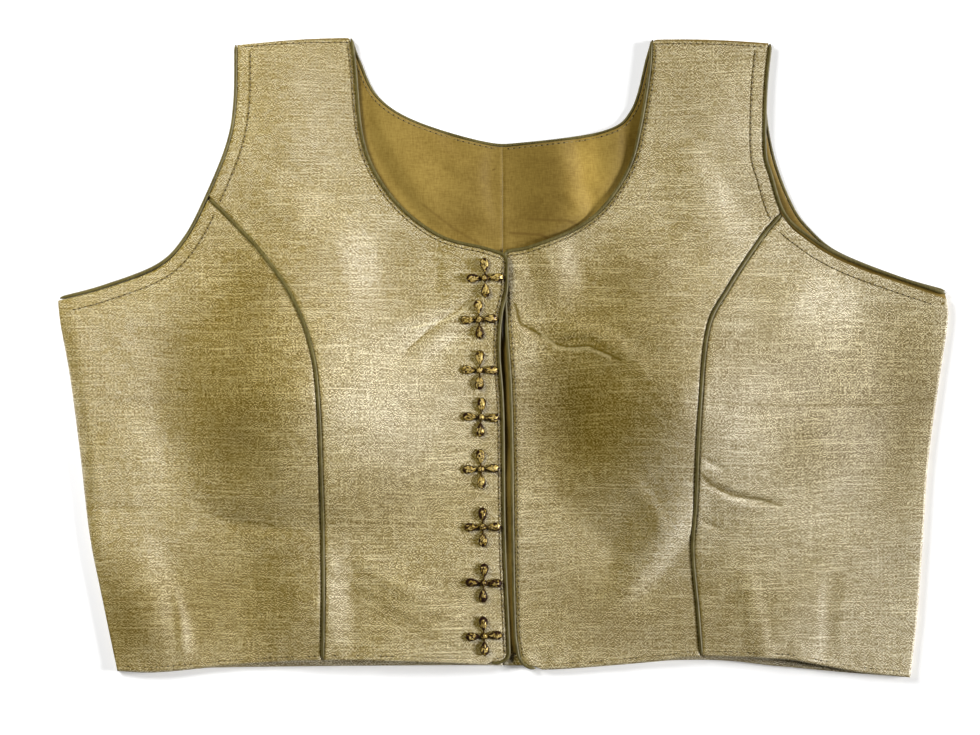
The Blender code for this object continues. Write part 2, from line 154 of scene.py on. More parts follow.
# Smaller swells and hollows where the cloth has settled: the same columns
SETTLED = (
    (-196, -40, 34, 34, 80, 60, 2.6),
    (60, -110, 40, 40, 44, 50, -1.6),
    (-148, 36, 30, 28, 34, 40, -3.4),
    (-140, -50, 26, 24, 34, 36, -2.2),
    (44, -30, 24, 26, 34, 40, -3.5),
    (160, 30, 30, 40, 30, 40, 2.5),
    (176, -50, 34, 40, 30, 30, 2.5),
)

# Folds and creases: columns start, middle and end x, y, width on the walker's left and right, height
FOLDS = (
    (-237, 44, -229, -42, -221, -128, 44, 15, 4.0),
    (-214, -92, -194, -135, -184, -184, 22, 28, 5.2),
    (-104, -92, -103, -132, -102, -180, 22, 44, 6.0),
    (108, -70, 84, -104, 52, -146, 13, 24, 4.8),
    (-104, -100, -57, -130, -10, -160, 16, 12, 1.6),
    (-72, 76, -68, 50, -56, 18, 24, 22, -3.6),
    (22, 80, 28, 50, 36, 20, 16, 15, 3.0),
    (10, 26, 50, 8, 92, -22, 14, 9, 2.8),
    (90, 118, 111, 87, 132, 50, 17, 26, 2.6),
    (-234, -86, -159, -88, -84, -90, 14, 14, -1.6),
    (-4, 44, -37, 26, -70, 8, 14, 12, 1.5),
    (-150, 96, -118, 84, -92, 64, 18, 20, 2.4),
)
CREASES = (
    (9, 20, 22, 11, 40, 6, 2.6, 2.8, -1.2),
    (30, 8, 54, 6, 77, -18, 2.6, 2.8, -1.4),
    (30, 13, 52, 12, 80, -10, 7.0, 5.0, 1.0),
    (-12, 36, -34, 20, -54, 3, 1.8, 1.8, -0.8),
    (10, -27, 22, -30, 36, -29, 3.0, 3.0, -0.6),
    (-10, 28, -32, 14, -50, -2, 8.0, 7.0, 1.0),
    (-30, 68, -31, 52, -30, 36, 13.0, 6.0, 1.2),
    (-97, -106, -57, -133, -18, -153, 7.0, 4.0, -0.7),
    (106, -65, 130, -76, 154, -79, 3.0, 4.0, -1.6),
    (108, -54, 114, -58, 122, -61, 2.5, 2.5, -0.8),
    (107, -87, 114, -92, 124, -95, 2.5, 2.5, -0.6),
    (106, -24, 170, -22, 238, -24, 2.6, 2.6, -0.35),
    (-178, -122, -175, -146, -172, -172, 9.0, 6.0, 1.3),
    (-228, -82, -160, -90, -98, -96, 6.0, 5.0, -0.9),
    (-236, -20, -200, -26, -168, -22, 6.0, 6.0, -0.5),
    (130, -112, 138, -140, 141, -174, 8.0, 9.0, 0.8),
    (182, -118, 178, -142, 180, -178, 8.0, 7.0, -0.7),
    (-150, -118, -150, -142, -146, -176, 8.0, 9.0, -0.9),
    (-90, -40, -60, -52, -24, -48, 8.0, 7.0, -0.5),
    (62, -62, 78, -78, 88, -98, 7.0, 7.0, 0.7),
    (-224, 22, -206, 6, -190, -14, 8.0, 8.0, 0.6),
)
LINING_FOLDS = (
    (26, 132, 34, 100, 46, 58, 12, 34, 5.0),
    (31, 91, 38, 86, 47, 80, 4, 4, 1.0),
    (-72, 146, -54, 108, -26, 70, 30, 12, 4.0),
    (58, 140, 62, 112, 60, 84, 7, 12, 2.2),
    (44, 100, 52, 94, 62, 96, 7, 6, 1.4),
    (-10, 122, -14, 96, -6, 64, 8, 22, 2.6),
    (-40, 128, -30, 110, -10, 100, 8, 8, 1.4),
)
# Painted light and shade on the silk: columns x, y, reach across and along, share, above nothing for light
# and below for shade
SILK_PAINTED_LIGHT_AND_SHADE = (
    (-116, 130, 60, 70, 0.24),
    (-62, 92, 26, 34, 0.16),
    (112, 124, 30, 40, 0.05),
    (-214, 0, 36, 60, 0.34),
    (-196, -80, 34, 40, 0.16),
    (-144, -30, 34, 48, -0.34),
    (-144, 40, 26, 34, -0.20),
    (-156, -134, 50, 32, -0.34),
    (-48, -14, 30, 36, -0.15),
    (-56, -78, 44, 26, -0.32),
    (-52, -136, 40, 28, -0.18),
    (44, -38, 32, 44, -0.46),
    (34, 40, 36, 20, -0.18),
    (84, -88, 28, 36, 0.32),
    (174, -12, 60, 46, -0.34),
    (232, -7, 22, 50, -0.14),
    (190, -70, 50, 34, -0.08),
    (60, -136, 60, 30, -0.30),
    (163, -133, 44, 34, -0.12),
    (-191, 21, 26, 16, -0.06),
    (182, 38, 34, 24, 0.16),
    (186, -48, 40, 18, -0.14),
    (128, -50, 18, 16, 0.12),
    (-84, 44, 26, 26, 0.14),
    (-16, 52, 14, 14, 0.18),
    (66, 40, 13, 24, -0.14),
    (-210, -150, 22, 26, -0.22),
    (120, 160, 50, 26, -0.05),
    (136, 58, 28, 34, 0.10),
)
# Painted light and shade on the lining, with the shadow beside the left front's neck edge: the same columns
LINING_PAINTED_LIGHT_AND_SHADE = (
    (-44, 104, 24, 32, 0.14),
    (20, 100, 17, 36, -0.20),
    (47, 100, 12, 30, 0.62),
    (72, 108, 11, 50, -0.42),
    (-30, 66, 30, 10, 0.10),
)

# Painted shade in sharp creases and a few small dark spots on the silk, and the marks below: how strong,
# half width, then the x and y of each point on the line
SILK_CREASE_SHADE_AND_SPOTS = (
    (0.85, 1.1, ((6.7, 29.4), (9.8, 18.4), (16.6, 14.9), (28.7, 7.4), (37, 5.8), (46.9, 6.9), (64, -1.4))),
    (0.42, 0.7, ((-51.6, 4.1), (-45, 10.2), (-38.4, 17.3))),
    (0.30, 0.8, ((106, -24.5), (152, -26), (210, -26), (236, -22.5))),
    (0.60, 1.0, ((107, -62), (113, -69), (124, -75), (140, -77), (152, -81))),
    (0.28, 1.0, ((-99, -113), (-81, -133), (-50, -149), (-24, -159))),
    (0.22, 1.2, ((-232, -82), (-170, -84), (-107, -96))),
    (0.80, 0.5, ((-129, -91), (-125, -92))),
    (0.60, 0.6, ((193, -122), (195, -123))),
    (0.95, 0.9, ((241.2, 29.4), (241.8, 29.4))),
)
# Painted highlights along thin pull ridges
PAINTED_HIGHLIGHT_LINES = (
    (0.42, 0.7, ((-15.3, 30.5), (-23.5, 24.5), (-31.2, 20.3), (-49.4, 16.2))),
    (0.30, 1.0, ((22, 12), (31, 4.5), (46, 4.8), (58, 0))),
)
# Painted shade in the lining's creases, and a small dark spot
LINING_CREASE_SHADE_AND_SPOTS = (
    (0.55, 0.9, ((4, 68.5), (21, 67.4), (28.7, 63.5))),
    (0.45, 0.9, ((14, 76), (36, 75), (50, 69))),
    (0.35, 0.8, ((-44, 84), (-26, 70), (-12, 62))),
    (0.80, 0.5, ((-5.4, 103.0), (-4.4, 103.4))),
)

# What sewing does to the cloth: how deep it sinks, how far beside the line, and how high a hem stands
SEAM_SINK = (0.45, 0.8)
STITCH_SINK = (0.22, 0.7)
HEM_SINK = (0.35, 0.8)
HEM_STAND = 0.32
HEM_STAND_PAST_ROW = 0.7
HEM_STAND_FADE = 0.9

# Puckers: columns height, slant, wave length, wander, wave length of the wander
HEM_PUCKERS = (
    (0.16, 0.0, 2.3, 1.7, 17),
    (0.128, 0.65, 3.9, 2.1, 29),
)
HEM_PUCKER_REACH = 7.0
HEM_PUCKER_PATCH = 21
EDGE_RIPPLE = (0.09, 0.4, 1.5, 1.9, 13)
EDGE_RIPPLE_REACH = 3.0
EDGE_RIPPLE_PATCH = 19

# The lining's swell into the front opening, and how it comes down to the neck
UNDER_OPENING = 2.0
OPENING_MIDDLE = 3.0
OPENING_REACH = 7.0
OPENING_ENDS = (-168, 16)
OPENING_FADE = 14
NECK_FADE = 12.0

# How folds run out, how softly swells meet the seams, and how high cloth rises before creases show
FOLD_ENDS = 1.6
CREASE_ENDS = 0.8
CREASE_POINTS = 30
SETTLE = 0.8
CREASED_FROM = 2.0

# Where the front comes down to its side seams and shoulders, and drops under the other front
SIDE_ROLL = 8.0
SHOULDER_TOP = 177.0
SHOULDER_ROLL = 22.0
LAP_DROP = 2.8
LAP_REACH = 36.0
LAP_FADE = (4.0, 26.0)

# Slack of the cloth between its folds: columns wavelength, direction in degrees, phase, height
SLACK = (
    (74, 20, 0.4, 0.22),
    (47, 105, 1.9, 0.20),
    (31, 62, 4.1, 0.11),
    (23, 148, 2.7, 0.08),
    (12, 84, 0.9, 0.030),
    (8.5, 12, 3.3, 0.022),
)
SLACK_WANDER = (0.9, 37, 61)

# Brooches: columns x, y, turn in degrees, how smoky the stones are
BROOCHES = (
    (-9.7, 43.6, 2, 0.30),
    (-13.0, 20.9, 3, 0.38),
    (-12.7, -6.9, -1, 0.25),
    (-12.0, -32.7, -3, 0.34),
    (-12.0, -61.0, 2, 0.30),
    (-11.0, -92.9, 1, 0.52),
    (-10.5, -123.5, -2, 0.62),
    (-10.4, -152.5, 3, 0.55),
)


def travelled(points):
    """Distance along a polyline to each of its points."""
    steps = np.linalg.norm(np.diff(points, axis=0), axis=1)
    return np.concatenate(([0.0], np.cumsum(steps)))


def at_fractions(points, fractions):
    """Points of a polyline at the given fractions of its length."""
    distance = travelled(points)
    where = np.asarray(fractions) * distance[-1]
    return np.stack([np.interp(where, distance, column) for column in points.T], axis=1)


def resample(points, count):
    return at_fractions(points, np.linspace(0, 1, count))


def spaced(path, step):
    """A path's points, evenly spaced about one step apart."""
    return resample(path, max(2, round(travelled(path)[-1] / step) + 1))


def curve(table, step=CURVE_STEP):
    """A Catmull-Rom curve through a table's points: between two knots it is the cubic whose end slopes
    are half the chord between their neighbours."""
    knots = np.asarray(table, float)
    knots = np.vstack((2 * knots[0] - knots[1], knots, 2 * knots[-1] - knots[-2]))
    t = np.linspace(0, 1, SPAN_POINTS, endpoint=False)[:, None]
    spans = []
    for before, start, end, after in zip(knots, knots[1:], knots[2:], knots[3:]):
        spans.append(0.5 * (2 * start + (end - before) * t
                            + (2 * before - 5 * start + 4 * end - after) * t ** 2
                            + (3 * start - before - 3 * end + after) * t ** 3))
    return spaced(np.vstack(spans + [knots[-2]]), step)


def moved_left(points, distance):
    """A curve moved sideways, to the left of the way it runs."""
    along = np.gradient(points, axis=0)
    along /= np.linalg.norm(along, axis=1)[:, None]
    return points + distance * np.stack([-along[:, 1], along[:, 0]], axis=1)


def trimmed(points, from_start, from_end):
    """A curve without its first and last millimetres."""
    length = travelled(points)[-1]
    return at_fractions(points, np.linspace(from_start / length, 1 - from_end / length, len(points)))


def split_at(points, target):
    """The two runs of a curve, before and after its point nearest the target."""
    nearest = int(np.argmin(np.linalg.norm(points - np.asarray(target), axis=1)))
    return points[:nearest + 1], points[nearest:]


def rounded(before, after):
    """Points of a cubic quarter turn that joins the end of one run to the start of the next."""
    start = before[-1]
    end = after[0]
    ahead = before[-1] - before[-2]
    back = after[0] - after[1]
    reach = QUARTER_TURN * np.linalg.norm(end - start)
    first = start + reach * ahead / np.linalg.norm(ahead)
    second = end + reach * back / np.linalg.norm(back)
    t = np.linspace(0, 1, CORNER_POINTS + 2)[1:-1, None]
    return ((1 - t) ** 3 * start + 3 * (1 - t) ** 2 * t * first
            + 3 * (1 - t) * t ** 2 * second + t ** 3 * end)


def shoulder_line(start, end):
    """A nearly straight edge that swells upwards by its crown, as a parabola."""
    t = np.linspace(0, 1, SHOULDER_POINTS)[:, None]
    return (1 - t) * start + t * end + np.hstack((0 * t, 4 * SHOULDER_CROWN * t * (1 - t)))


def smooth_step(value):
    value = np.clip(value, 0, 1)
    return value * value * (3 - 2 * value)


def bell(distance, width):
    """A bump of height one that falls as the Gaussian of distance over width."""
    return np.exp(-(distance / width) ** 2)


def away_from(points, line):
    """Distance of each plan point from a line, taken to the nearest of its closely spaced points."""
    line = spaced(line, NEAREST_STEP)
    flat = points.reshape(-1, 2)
    nearest = np.full(len(flat), np.inf)
    for run in np.array_split(line, max(1, len(line) // NEAREST_RUN)):
        gap = np.hypot(flat[:, None, 0] - run[None, :, 0], flat[:, None, 1] - run[None, :, 1])
        nearest = np.minimum(nearest, gap.min(axis=1))
    return nearest.reshape(points.shape[:-1])


def swell(x, y, row):
    """One dome with its own reach on each of four sides: height times (1 - reach to the power 1.6)
    squared, so that it rises to a soft point as a sewn cup does."""
    centre_x, centre_y, left, right, up, down, height = row
    across = (x - centre_x) / np.where(x < centre_x, left, right)
    along = (y - centre_y) / np.where(y > centre_y, up, down)
    reach = np.sqrt(across ** 2 + along ** 2)
    return height * np.clip(1 - reach ** SWELL_POINT, 0, 1) ** 2


def fold(x, y, row, ends):
    """One ridge, or trough where the height is negative, along a bent line: height times (1 - across
    squared) squared, where across is the distance beside the line over its width on that side, faded
    along the line by a power of 4 t (1 - t)."""
    start, middle, end = np.array(row[0:2]), np.array(row[2:4]), np.array(row[4:6])
    left, right, height = row[6:]
    t = np.linspace(0, 1, CREASE_POINTS)[:, None]
    bend = 2 * middle - (start + end) / 2
    line = (1 - t) ** 2 * start + 2 * t * (1 - t) * bend + t ** 2 * end
    ahead = np.gradient(line, axis=0)
    ahead /= np.linalg.norm(ahead, axis=1)[:, None]
    low = line.min(axis=0) - max(left, right)
    high = line.max(axis=0) + max(left, right)
    inside = (x > low[0]) & (x < high[0]) & (y > low[1]) & (y < high[1])
    rise = np.zeros(np.shape(x))
    if not inside.any():
        return rise
    from_x = x[inside][:, None] - line[None, :, 0]
    from_y = y[inside][:, None] - line[None, :, 1]
    nearest = np.argmin(from_x ** 2 + from_y ** 2, axis=1)
    pick = np.arange(len(nearest))
    step_x, step_y = from_x[pick, nearest], from_y[pick, nearest]
    forward = step_x * ahead[nearest, 0] + step_y * ahead[nearest, 1]
    beside = step_y * ahead[nearest, 0] - step_x * ahead[nearest, 1]
    spacing = np.linalg.norm(end - start) / (CREASE_POINTS - 1)
    travel = np.clip((nearest + forward / spacing) / (CREASE_POINTS - 1), 0, 1)
    across = beside / np.where(beside > 0, left, right)
    rise[inside] = height * (4 * travel * (1 - travel)) ** ends * np.clip(1 - across ** 2, 0, 1) ** 2
    return rise


def painted_shading(plan, table):
    """Share of painted light, or of painted shade where it is below nothing, at each plan point: a sum of
    Gaussian domes.
    """
    return sum(share * bell(plan[..., 0] - x, across) * bell(plan[..., 1] - y, along)
               for x, y, across, along, share in table)


def slack(x, y):
    """A few long waves of cloth that isn't pulled tight: a sum of sines along their own directions."""
    total = np.zeros(np.shape(x))
    wander, along_wave, up_wave = SLACK_WANDER
    for length, degrees, phase, height in SLACK:
        turn = math.radians(degrees)
        travel = x * math.cos(turn) + y * math.sin(turn)
        bend = wander * np.sin(travel / along_wave + y / up_wave)
        total += height * np.sin(2 * math.pi * travel / length + phase + bend)
    return total


SIDE_LINES = (curve(SIDE_RIGHT), curve(SIDE_LEFT))
NECK_LINES = (curve(NECK_FRONT_RIGHT), curve(NECK_FRONT_LEFT))


def side_room(x, y):
    """Distance in from the nearer side seam."""
    right, left = SIDE_LINES
    from_right = x - np.interp(-y, -right[:, 1], right[:, 0])
    from_left = np.interp(-y, -left[:, 1], left[:, 0]) - x
    return np.where(x < 0, from_right, from_left)


def front_rise(x, y, side):
    """Rise of the front above its seams: swells, folds, creases and slack, down to nothing at the sides
    and shoulders. The left front drops near the neck, where the right one laps over it."""
    x = np.asarray(x, float)
    y = np.asarray(y, float)
    rise = (sum(swell(x, y, row) for row in SWELLS + SETTLED)
            + sum(fold(x, y, row, FOLD_ENDS) for row in FOLDS))
    rise = 0.5 * (rise + np.sqrt(rise ** 2 + SETTLE ** 2))
    fine = sum(fold(x, y, row, CREASE_ENDS) for row in CREASES) + slack(x, y)
    rise = rise + fine * smooth_step(rise / CREASED_FROM)
    rise = rise * np.sqrt(smooth_step(side_room(x, y) / SIDE_ROLL))
    rise = rise * smooth_step((SHOULDER_TOP - y) / SHOULDER_ROLL)
    if side == "left":
        low, high = LAP_FADE
        lap = smooth_step((y - low) / (high - low)) * smooth_step(1 - x / LAP_REACH)
        rise = np.maximum(rise - LAP_DROP * lap, 0)
    return np.maximum(rise, 0)


def patch(outer, inner, top, bottom, rows, columns):
    """A Coons patch: the blend of the two side edges plus the blend of top and bottom edges, less the
    blend of the four corners. Rows run from top to bottom and columns from the outer edge in."""
    v = np.linspace(0, 1, rows)[:, None, None]
    across = np.linspace(0, 1, columns)
    u = across[None, :, None]
    outer = resample(outer, rows)[:, None]
    inner = resample(inner, rows)[:, None]
    top = at_fractions(top, across)[None]
    bottom = at_fractions(bottom, across)[None]
    top = top + (1 - u) * (outer[:1] - top[:, :1]) + u * (inner[:1] - top[:, -1:])
    bottom = bottom + (1 - u) * (outer[-1:] - bottom[:, :1]) + u * (inner[-1:] - bottom[:, -1:])
    corners = (1 - v) * ((1 - u) * outer[:1] + u * inner[:1]) + v * ((1 - u) * outer[-1:] + u * inner[-1:])
    return (1 - u) * outer + u * inner + (1 - v) * top + v * bottom - corners


def put_mesh(name, points, faces, material, smooth=True):
    """Points in millimetres and faces as rows of indices, put into a mesh object that rides on the
    part and takes its finish from a slot."""
    if isinstance(faces, np.ndarray):
        faces = faces.tolist()
    mesh = bpy.data.meshes.new(name)
    mesh.from_pydata((points.reshape(-1, 3) * MM).tolist(), [], faces)
    mesh.update()
    if smooth:
        mesh.shade_smooth()
    else:
        mesh.shade_flat()
    mesh.materials.append(material)
    piece = bpy.data.objects.new(name, mesh)
    bpy.context.scene.collection.objects.link(piece)
    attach(piece, BODY)
    return piece


def grid_faces(rows, columns, ring=False):
    """Quads of a grid, joined round where its columns make a ring."""
    index = np.arange(rows * columns).reshape(rows, columns)
    if ring:
        index = np.hstack((index, index[:, :1]))
    return np.stack((index[:-1, :-1], index[1:, :-1], index[1:, 1:], index[:-1, 1:]), axis=-1).reshape(-1, 4)


def face_up(plan, side):
    """A left piece's grid is turned round, so that its faces point up as the right one's do."""
    return plan[:, ::-1] if side == "left" else plan


# Lays painted light and shade on a piece as an attribute of its points.
def give_painted_shading(piece, plan, table):
    light_and_shade = piece.data.attributes.new("light_and_shade", "FLOAT", "POINT")
    light_and_shade.data.foreach_set("value", painted_shading(plan, table).ravel().astype(np.float32))


def cloth_sheet(node, plan, height, material, wall):
    """A sheet of cloth from its plan grid and the height of its middle, given its wall, for its node."""
    points = np.dstack((plan, np.broadcast_to(height, plan.shape[:-1])))
    piece = put_mesh(f"{node}_cloth", points, grid_faces(*plan.shape[:2]), material)
    solid = piece.modifiers.new("wall", "SOLIDIFY")
    solid.thickness = wall * MM
    solid.offset = 0.0
    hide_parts(node)
    return piece


# Materials. A noise's grains are counted to the metre across, along and up.

# Colours of the painted crease shade on silk and lining, of each finish from dark to pale, and of a stone's
# facets by depth
CREASE_SHADE_BROWN = (0.125, 0.085, 0.009)
LINING_CREASE_SHADE_BROWN = (0.12, 0.065, 0.008)
SILK_COLOURS = ((0.170, 0.110, 0.010), (0.415, 0.303, 0.058), (0.96, 0.82, 0.43))
LINING_COLOURS = ((0.17, 0.105, 0.016), (0.30, 0.205, 0.045))
SATIN_COLOURS = ((0.070, 0.055, 0.012), (0.175, 0.145, 0.048))
THREAD_COLOURS = ((0.16, 0.115, 0.035), (0.36, 0.28, 0.12))
# The needle holes' colours are painted shade
HOLE_SHADE_COLOURS = ((0.022, 0.013, 0.004), (0.05, 0.034, 0.012))
GILT_COLOURS = ((0.07, 0.035, 0.008), (0.28, 0.17, 0.035))
STONE_COLOURS = ((0.08, (0.80, 0.60, 0.21)), (0.32, (0.46, 0.31, 0.055)), (0.62, (0.03, 0.011, 0.008)))

# How far the silk's threads wander, the cell of a yarn crossing and the pitch of its thicker yarns
DRIFT_GRAINS = 9
DRIFT_REACH = 12
CROSSING_CELL = (0.60, 0.56)
CHECK_PITCH = 2.25

# What each kind of thread adds to the silk's shade
SILK_GROUND = 0.40
SPECKLE_GRAINS = (1250, 1450, 500)
SPECKLE_SHARE = 0.34
CROSSING_SHARE = 0.43
CHECK_SHARE = 0.6

# Weft and warp slubs, short ones first: grains, then the noise range that shows and what it adds there
SLUBS = (
    ((130, 1350, 60), (0.56, 0.67, 0.0, 0.22)),
    ((1350, 130, 60), (0.57, 0.68, 0.0, 0.15)),
    ((24, 1700, 20), (0.60, 0.67, -0.02, 0.25)),
    ((1500, 42, 20), (0.62, 0.70, 0.0, 0.14)),
)

# The silk's sheen, how much the painted light strengthens it, and how painted shade turns the cloth more
# golden
SILK_IOR = 3.2
SHEEN_POWER = 1.6
GREEN_POWER = 0.12
BLUE_POWER = 0.9

# A mark fades between these shares of its half width
MARK_FADE = (0.3, 1.3)


class Finish:
    """One material. Each method adds one step of its pattern and gives back that step's output."""

    def __init__(self, name, sockets):
        self.material = bpy.data.materials.new(name)
        self.material.use_nodes = True
        self.tree = self.material.node_tree
        self.shader = self.tree.nodes["Principled BSDF"]
        for socket, value in sockets.items():
            self.put(socket, value)

    def fill(self, socket, value):
        """Gives a socket a step's output, a colour or a plain number."""
        if isinstance(value, bpy.types.NodeSocket):
            self.tree.links.new(value, socket)
        elif socket.type == "RGBA":
            socket.default_value = (*value, 1.0)
        else:
            socket.default_value = value

    def put(self, socket, value):
        self.fill(self.shader.inputs[socket], value)

    def node(self, kind, inputs=None, **settings):
        made = self.tree.nodes.new(f"ShaderNode{kind}")
        for name, value in settings.items():
            setattr(made, name, value)
        for key, value in (inputs or {}).items():
            self.fill(made.inputs[key], value)
        return made

    def own_place(self):
        return self.node("TexCoord").outputs["Object"]

    def attribute(self, name):
        return self.node("Attribute", attribute_name=name).outputs["Fac"]

    def noise(self, grains, detail=2.0, rough=0.5, turn=0.0, place=None):
        """Noise on the piece's own coordinates, stretched by its grains each way."""
        mapping = self.node("Mapping", {"Vector": place or self.own_place(), "Scale": grains,
                                        "Rotation": (0, 0, turn)})
        return self.node("TexNoise", {"Vector": mapping.outputs["Vector"], "Scale": 1.0, "Detail": detail,
                                      "Roughness": rough}).outputs["Fac"]

    def ranged(self, value, low, high, to_low=0.0, to_high=1.0):
        return self.node("MapRange", {"Value": value, "From Min": low, "From Max": high,
                                      "To Min": to_low, "To Max": to_high}).outputs["Result"]

    def calc(self, operation, first, second=0.0):
        return self.node("Math", {0: first, 1: second}, operation=operation).outputs["Value"]

    def vector(self, operation, *inputs, output="Vector"):
        return self.node("VectorMath", dict(enumerate(inputs)), operation=operation).outputs[output]

    def gathered(self, operation, values):
        """Many values as one, by the same operation over and over."""
        total = values[0]
        for value in values[1:]:
            total = self.calc(operation, total, value)
        return total

    def mixed(self, first, second, share):
        """Share of the first value and the rest of the second."""
        rest = self.calc("MULTIPLY", second, 1 - share)
        return self.calc("ADD", self.calc("MULTIPLY", first, share), rest)

    def blend(self, share, first, second):
        """A colour between two, by a share that is worked out or a plain number."""
        mix = self.node("Mix", {"Factor": share}, data_type="RGBA")
        for socket, value in zip([one for one in mix.inputs if one.type == "RGBA"], (first, second)):
            self.fill(socket, value)
        return [one for one in mix.outputs if one.type == "RGBA"][0]

    def bump(self, height, distance, strength):
        bump = self.node("Bump", {"Height": height, "Distance": distance * MM, "Strength": strength})
        self.put("Normal", bump.outputs["Normal"])

    def painted_shading(self, colour):
        """A colour scaled by the painted light and shade laid on the cloth, and that scale. Where the scale
        is under one, blue falls much faster and green a little faster, each by a power of it, so that
        painted shade looks more golden."""
        painted_light_scale = self.calc("ADD", self.attribute("light_and_shade"), 1.0)
        under_one = self.calc("MINIMUM", painted_light_scale, 1.0)
        green, blue = (self.calc("MULTIPLY", painted_light_scale, self.calc("POWER", under_one, power))
                       for power in (GREEN_POWER, BLUE_POWER))
        channels = self.node("CombineXYZ", {"X": painted_light_scale, "Y": green, "Z": blue}).outputs["Vector"]
        return self.vector("MULTIPLY", colour, channels), painted_light_scale

    def marks(self, table):
        """How strongly marks show at each place. The distance to a mark is the least of those to its
        segments, each taken to the segment's nearest point: the start plus the way along, held between 0
        and 1, times the segment."""
        plan = self.vector("MULTIPLY", self.own_place(), (1 / MM, 1 / MM, 0))
        shares = []
        for strength, width, line in table:
            gaps = []
            for (start_x, start_y), (end_x, end_y) in zip(line, line[1:]):
                run_x, run_y = end_x - start_x, end_y - start_y
                square = run_x ** 2 + run_y ** 2
                offset = self.vector("SUBTRACT", plan, (start_x, start_y, 0))
                travel = self.vector("DOT_PRODUCT", offset, (run_x / square, run_y / square, 0),
                                     output="Value")
                nearest = self.node("VectorMath", {0: (run_x, run_y, 0), "Scale": self.ranged(travel, 0, 1)},
                                    operation="SCALE").outputs["Vector"]
                gaps.append(self.vector("DISTANCE", offset, nearest, output="Value"))
            low, high = (width * share for share in MARK_FADE)
            shares.append(self.ranged(self.gathered("MINIMUM", gaps), low, high, strength, 0.0))
        return self.gathered("MAXIMUM", shares)

    def drifting_place(self, grains, reach):
        """The piece's own coordinates, moved in plan by a slow noise, so that threads wander."""
        where = self.own_place()
        noise = self.node("TexNoise", {"Vector": where, "Scale": grains, "Detail": 1.0})
        return self.vector("MULTIPLY_ADD", noise.outputs["Color"], (reach * MM, reach * MM, 0), where)

    def yarn_crossings(self, place, across, along):
        """What sets each crossing of warp and weft apart from the next ones: white noise on coordinates
        snapped to a cell, less that of the cell beside it and of the cell ahead, plus that of the far
        one."""
        snapped = self.vector("SNAP", place, (across * MM, along * MM, 1))
        here, far, beside, ahead = (
            self.node("TexWhiteNoise", {"Vector": self.vector(
                "ADD", snapped, (step_x * across * MM, step_y * along * MM, 0))}).outputs["Value"]
            for step_x, step_y in ((0, 0), (1, 1), (1, 0), (0, 1)))
        return self.gathered("SUBTRACT", [self.calc("ADD", here, far), beside, ahead])

    def woven_checks(self, place, pitch):
        """A sine across and a sine along the cloth, whose crossings make the grid of its thicker yarns."""
        apart = self.node("SeparateXYZ", {"Vector": place})
        return [self.calc("SINE", self.calc("MULTIPLY", apart.outputs[axis], 2 * math.pi / (pitch * MM)))
                for axis in ("X", "Y")]


def slubbed_silk(name, dark, mid, pale):
    """Slubbed silk: a chance value at each yarn crossing over a close speckle, a faint grid of thicker
    yarns where a slow cloud lets it show, and weft and warp slubs, short and long. Their sum shades the
    yarn from dark to pale, raises it and gives it more or less sheen."""
    silk = Finish(name, {"Roughness": 0.66, "IOR": SILK_IOR})
    place = silk.drifting_place(DRIFT_GRAINS, DRIFT_REACH)
    across, along = silk.woven_checks(place, CHECK_PITCH)
    checks = silk.calc("ADD", silk.calc("MULTIPLY", across, CHECK_SHARE), along)
    cloud = silk.ranged(silk.noise((40, 34, 40)), 0.40, 0.62, 0.01, 0.06)
    parts = [silk.calc("MULTIPLY", silk.noise(SPECKLE_GRAINS, detail=1.0, rough=0.55), SPECKLE_SHARE),
             silk.calc("MULTIPLY", silk.yarn_crossings(place, *CROSSING_CELL), CROSSING_SHARE),
             SILK_GROUND, silk.calc("MULTIPLY", checks, cloud)]
    parts += [silk.ranged(silk.noise(grains, detail=1.0, place=place), *share) for grains, share in SLUBS]
    threads = silk.gathered("ADD", parts)
    colour = silk.blend(silk.ranged(threads, 0.36, 0.70), dark, mid)
    colour = silk.blend(silk.ranged(threads, 0.70, 0.98), colour, pale)
    colour = silk.blend(silk.ranged(silk.noise((13, 17, 12)), 0.40, 0.72, 0.0, 0.30), colour, dark)
    # Painted light and shade, then painted shade in the creases and painted highlights along pull ridges
    colour, painted_light_scale = silk.painted_shading(colour)
    crease_shade = silk.marks(SILK_CREASE_SHADE_AND_SPOTS)
    colour = silk.blend(crease_shade, colour, CREASE_SHADE_BROWN)
    silk.put("Base Color", silk.blend(silk.marks(PAINTED_HIGHLIGHT_LINES), colour, pale))
    # The sheen grows under painted light, shrinks under painted shade and is taken out in the painted crease
    # shade
    sheen = silk.calc("MULTIPLY", silk.ranged(threads, 0.30, 0.95, 0.18, 0.92),
                      silk.calc("POWER", painted_light_scale, SHEEN_POWER))
    silk.put("Specular IOR Level", silk.calc("MULTIPLY", sheen, silk.calc("SUBTRACT", 1.0, crease_shade)))
    silk.bump(threads, distance=0.10, strength=0.55)
    return silk.material


def cotton_lining(name, dark, pale):
    """Plain matt cotton: two close crossed noises for its threads and a slow random cloud that lightens and
    darkens it.
    """
    cotton = Finish(name, {"Roughness": 0.72, "Specular IOR Level": 0.25, "Sheen Weight": 0.15})
    threads = cotton.mixed(cotton.noise((300, 1500, 300)), cotton.noise((1500, 300, 300)), 0.5)
    shade = cotton.mixed(threads, cotton.noise((24, 30, 20), detail=3.0, rough=0.55), 0.5)
    # The lining's painted light and shade, then painted shade in its creases
    colour, _ = cotton.painted_shading(cotton.blend(cotton.ranged(shade, 0.38, 0.62), dark, pale))
    cotton.put("Base Color", cotton.blend(cotton.marks(LINING_CREASE_SHADE_AND_SPOTS), colour, LINING_CREASE_SHADE_BROWN))
    cotton.bump(threads, distance=0.10, strength=0.35)
    return cotton.material


